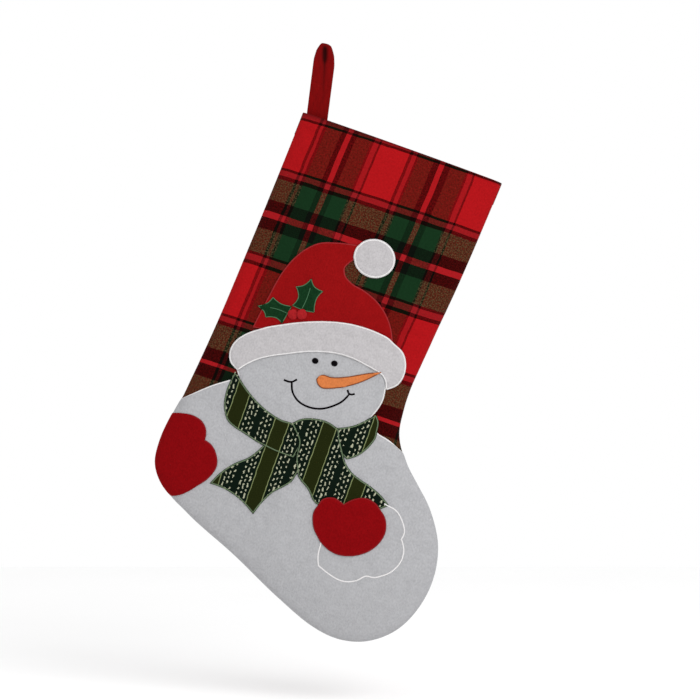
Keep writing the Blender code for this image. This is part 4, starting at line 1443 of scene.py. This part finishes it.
def place_floor():
    """A pale matt floor below the stocking."""
    nodes = Nodes("studio_floor", 0.9)
    grain = nodes.noise(nodes.add("ShaderNodeTexCoord", output=3), 3.0)
    mesh = bpy.data.meshes.new("floor")
    near, far, height = -FLOOR_HALF, FLOOR_HALF, FLOOR_HEIGHT
    corners = [(near, near, height), (far, near, height), (far, far, height), (near, far, height)]
    mesh.from_pydata(corners, [], [(0, 1, 2, 3)])
    mesh.materials.append(nodes.colour(nodes.mix(grain, (0.93, 0.93, 0.93), (0.96, 0.96, 0.96))))
    floor = bpy.data.objects.new("floor", mesh)
    bpy.context.scene.collection.objects.link(floor)
    floor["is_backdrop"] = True


# Everything


FAR = 400.0
# The width and height of each line of stitches
SNOWBALL_LINE = (1.4, 0.6)
SMILE_LINE = (1.9, 0.5)
VEIN_LINE = (0.7, 0.35)
# The meshes of small shapes
SMALL = {"step": 2.0, "edge_step": 0.8}
BERRY = {"step": 1.2, "edge_step": 0.7, "crown": 1.0}
EYE = {"step": 0.9, "edge_step": 0.5, "crown": 0.5}

# The slot of each kind of sewn shape, and the thread round it with its slot
SEWN = {
    "hat": ("hat_felt", "hat_thread", "hat_felt"),
    "snow": ("snow_felt", "white_thread", "white_stitches"),
    "brim": ("snow_felt", "white_thread", "white_stitches"),
    "scarf": ("scarf_cloth", "scarf_thread", "scarf_cloth"),
    "mitten": ("mitten_felt", "mitten_thread", "mitten_felt"),
    "holly": ("holly_felt", "holly_thread", "holly_felt"),
    "carrot": ("carrot_felt", "carrot_thread", "carrot_felt"),
}

# The places that the drawn lines pass through, in the stocking's plane
SMILE = {
    "smile_line": (
        (76.5, 241.5), (80.5, 250.5), (88.0, 256.5), (98.5, 258.6), (110.0, 256.5), (119.5, 250.7),
        (127.0, 243.0), (131.0, 234.5),
    ),
    "smile_tick_left": ((69.0, 242.5), (77.0, 241.5), (80.3, 238.0)),
    "smile_tick_right": ((128.0, 231.3), (131.0, 234.5), (135.7, 232.8)),
}
VEINS = {
    "holly_vein_upper": ((62.5, 174.5), (63.6, 165.0), (63.3, 153.5)),
    "holly_vein_side": ((34.0, 183.4), (42.0, 182.4), (50.5, 183.0)),
}


def snowman(relief, finish):
    """The felt shapes from the lowest to the highest, with their stitched edges."""
    def shape(name, kind, width, inset=0.35, height=0.45, **settings):
        """A sewn shape with a line of stitches round it."""
        slot, thread, thread_slot = SEWN[kind]
        piece, outline = felt_shape(name, relief, finish[kind], slot, **settings)
        bead(name + "_edging", outline, True, width, height, relief, finish[thread], thread_slot, inset)

    shape("hat_crown", "hat", 1.3)
    shape("face", "snow", 1.3)
    shape("hat_pompom", "brim", 2.0, 0.7, 0.7, crown=1.0)
    for name in ("scarf_tail_left", "scarf_collar_left", "scarf_collar_right"):
        shape(name, "scarf", 1.3, 0.9)
    shape("hat_brim", "brim", 1.5, 0.5, 0.6, crown=0.8)
    shape("scarf_knot_tail", "scarf", 1.3, 0.9)
    path = centre_line("snowball_stitching")
    white = finish["white_thread"]
    line = bead("snowball_line", path, False, *SNOWBALL_LINE, relief, white, "white_stitches")
    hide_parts("snowball_stitching")
    shape("mitten_right", "mitten", 1.2, crown=0.6)
    for name in ("holly_leaf_upper", "holly_leaf_side"):
        shape(name, "holly", 0.9, 0.4, 0.4, **SMALL)
    drawn_lines(VEINS, VEIN_LINE, relief, finish["holly_thread"], "holly_felt")
    shape("carrot_nose", "carrot", 1.0, 0.4, **SMALL)
    smile = drawn_lines(SMILE, SMILE_LINE, relief, finish["black_thread"], "black_thread")
    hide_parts("smile")
    for name in ("holly_berry_left", "holly_berry_right"):
        berry, outline = felt_shape(name, relief, finish["berry"], "berry_felt", **BERRY)
    for name in ("eye_left", "eye_right"):
        felt_shape(name, relief, finish["black_thread"], "black_thread", **EYE)


def drawn_lines(lines, size, relief, finish, slot):
    """Lines of stitches, of that width and height, each through its own places."""
    made = []
    for name, places in lines.items():
        path = smooth(np.array(places), 1.5, closed=False, sharp=80.0)
        made.append(bead(name, path, False, *size, relief, finish, slot))
    return made


def centre_line(node):
    """The middle of a line of stitches, from its band's outline."""
    outline = largest(front_outlines(node))
    half = len(outline) // 2
    sides = np.linalg.norm(np.roll(outline, -1, 0) - outline, axis=1)
    start = int(np.argmin(sides + np.roll(sides, -half))) + 1
    outline = np.roll(outline, -start, 0)
    return smooth((outline[:half] + outline[::-1][:half]) / 2, 2.0, closed=False, sharp=40.0)


def stitched_paths(body_top):
    """The lines along which stitches hold the front cloth down, and whether each is closed."""
    names = (
        "hat_crown", "hat_brim", "face", "hat_pompom", "scarf_tail_left", "scarf_knot_tail",
        "mitten_right", "scarf_collar_left", "scarf_collar_right",
    )
    closed = [(smooth(largest(front_outlines(name)), 4.0), True) for name in names]
    return closed + [(body_top, False)]


def snow_body(front, body_top, relief, finish):
    """The snow body over the foot, caught in the seam all round it."""
    top = rising(body_top, 0)
    body = cut_region(top, [(FAR, top[-1][1]), (FAR, 500), (-FAR, 500), (-FAR, top[0][1])])
    relief.cover(body, FELT["snowman_body"])
    caught_felt(front, "snowman_body", body, body_top, 0.0, finish["snow"])
    bead("snowman_body_edging", body_top, False, 1.3, 0.45, relief, finish["white_thread"], "white_stitches")


def left_mitten(front, edge, relief, finish):
    """The mitten caught in the heel's seam, over the snow body."""
    down = rising(edge, 1)
    mitten = cut_region(down, [(-FAR, down[-1][1] + 20), (-FAR, down[0][1] - 5)])
    lift = FELT["snowman_body"] + TOUCH
    caught_felt(front, "mitten_left", mitten, edge, lift, finish["mitten"])
    relief.cover(mitten, FELT["mitten_left"])
    bead("mitten_left_edging", edge[2:-2], False, 1.2, 0.45, relief, finish["mitten_thread"], "mitten_felt")


def main():
    """The bag from its cloth inwards, then what is sewn on it, its ribbon and the studio."""
    finish = finishes()
    seam = seam_path()
    body_top = off_seam("snowman_body", seam)
    mitten_edge = off_seam("mitten_left", seam)
    front = Shell(FRONT, seam, [body_top, mitten_edge], stitched_paths(body_top))
    back = Shell(BACK, seam, [], [])
    for shell, word in ((front, "front"), (back, "back")):
        bag_piece(shell, word, finish)
        lining_piece(shell, word, finish)
        wadding_piece(shell, word, finish)
    relief = Relief(front.sheet, front.triangles)
    snow_body(front, body_top, relief, finish)
    left_mitten(front, mitten_edge, relief, finish)
    snowman(relief, finish)
    ribbon_loop(finish)
    studio()


main()
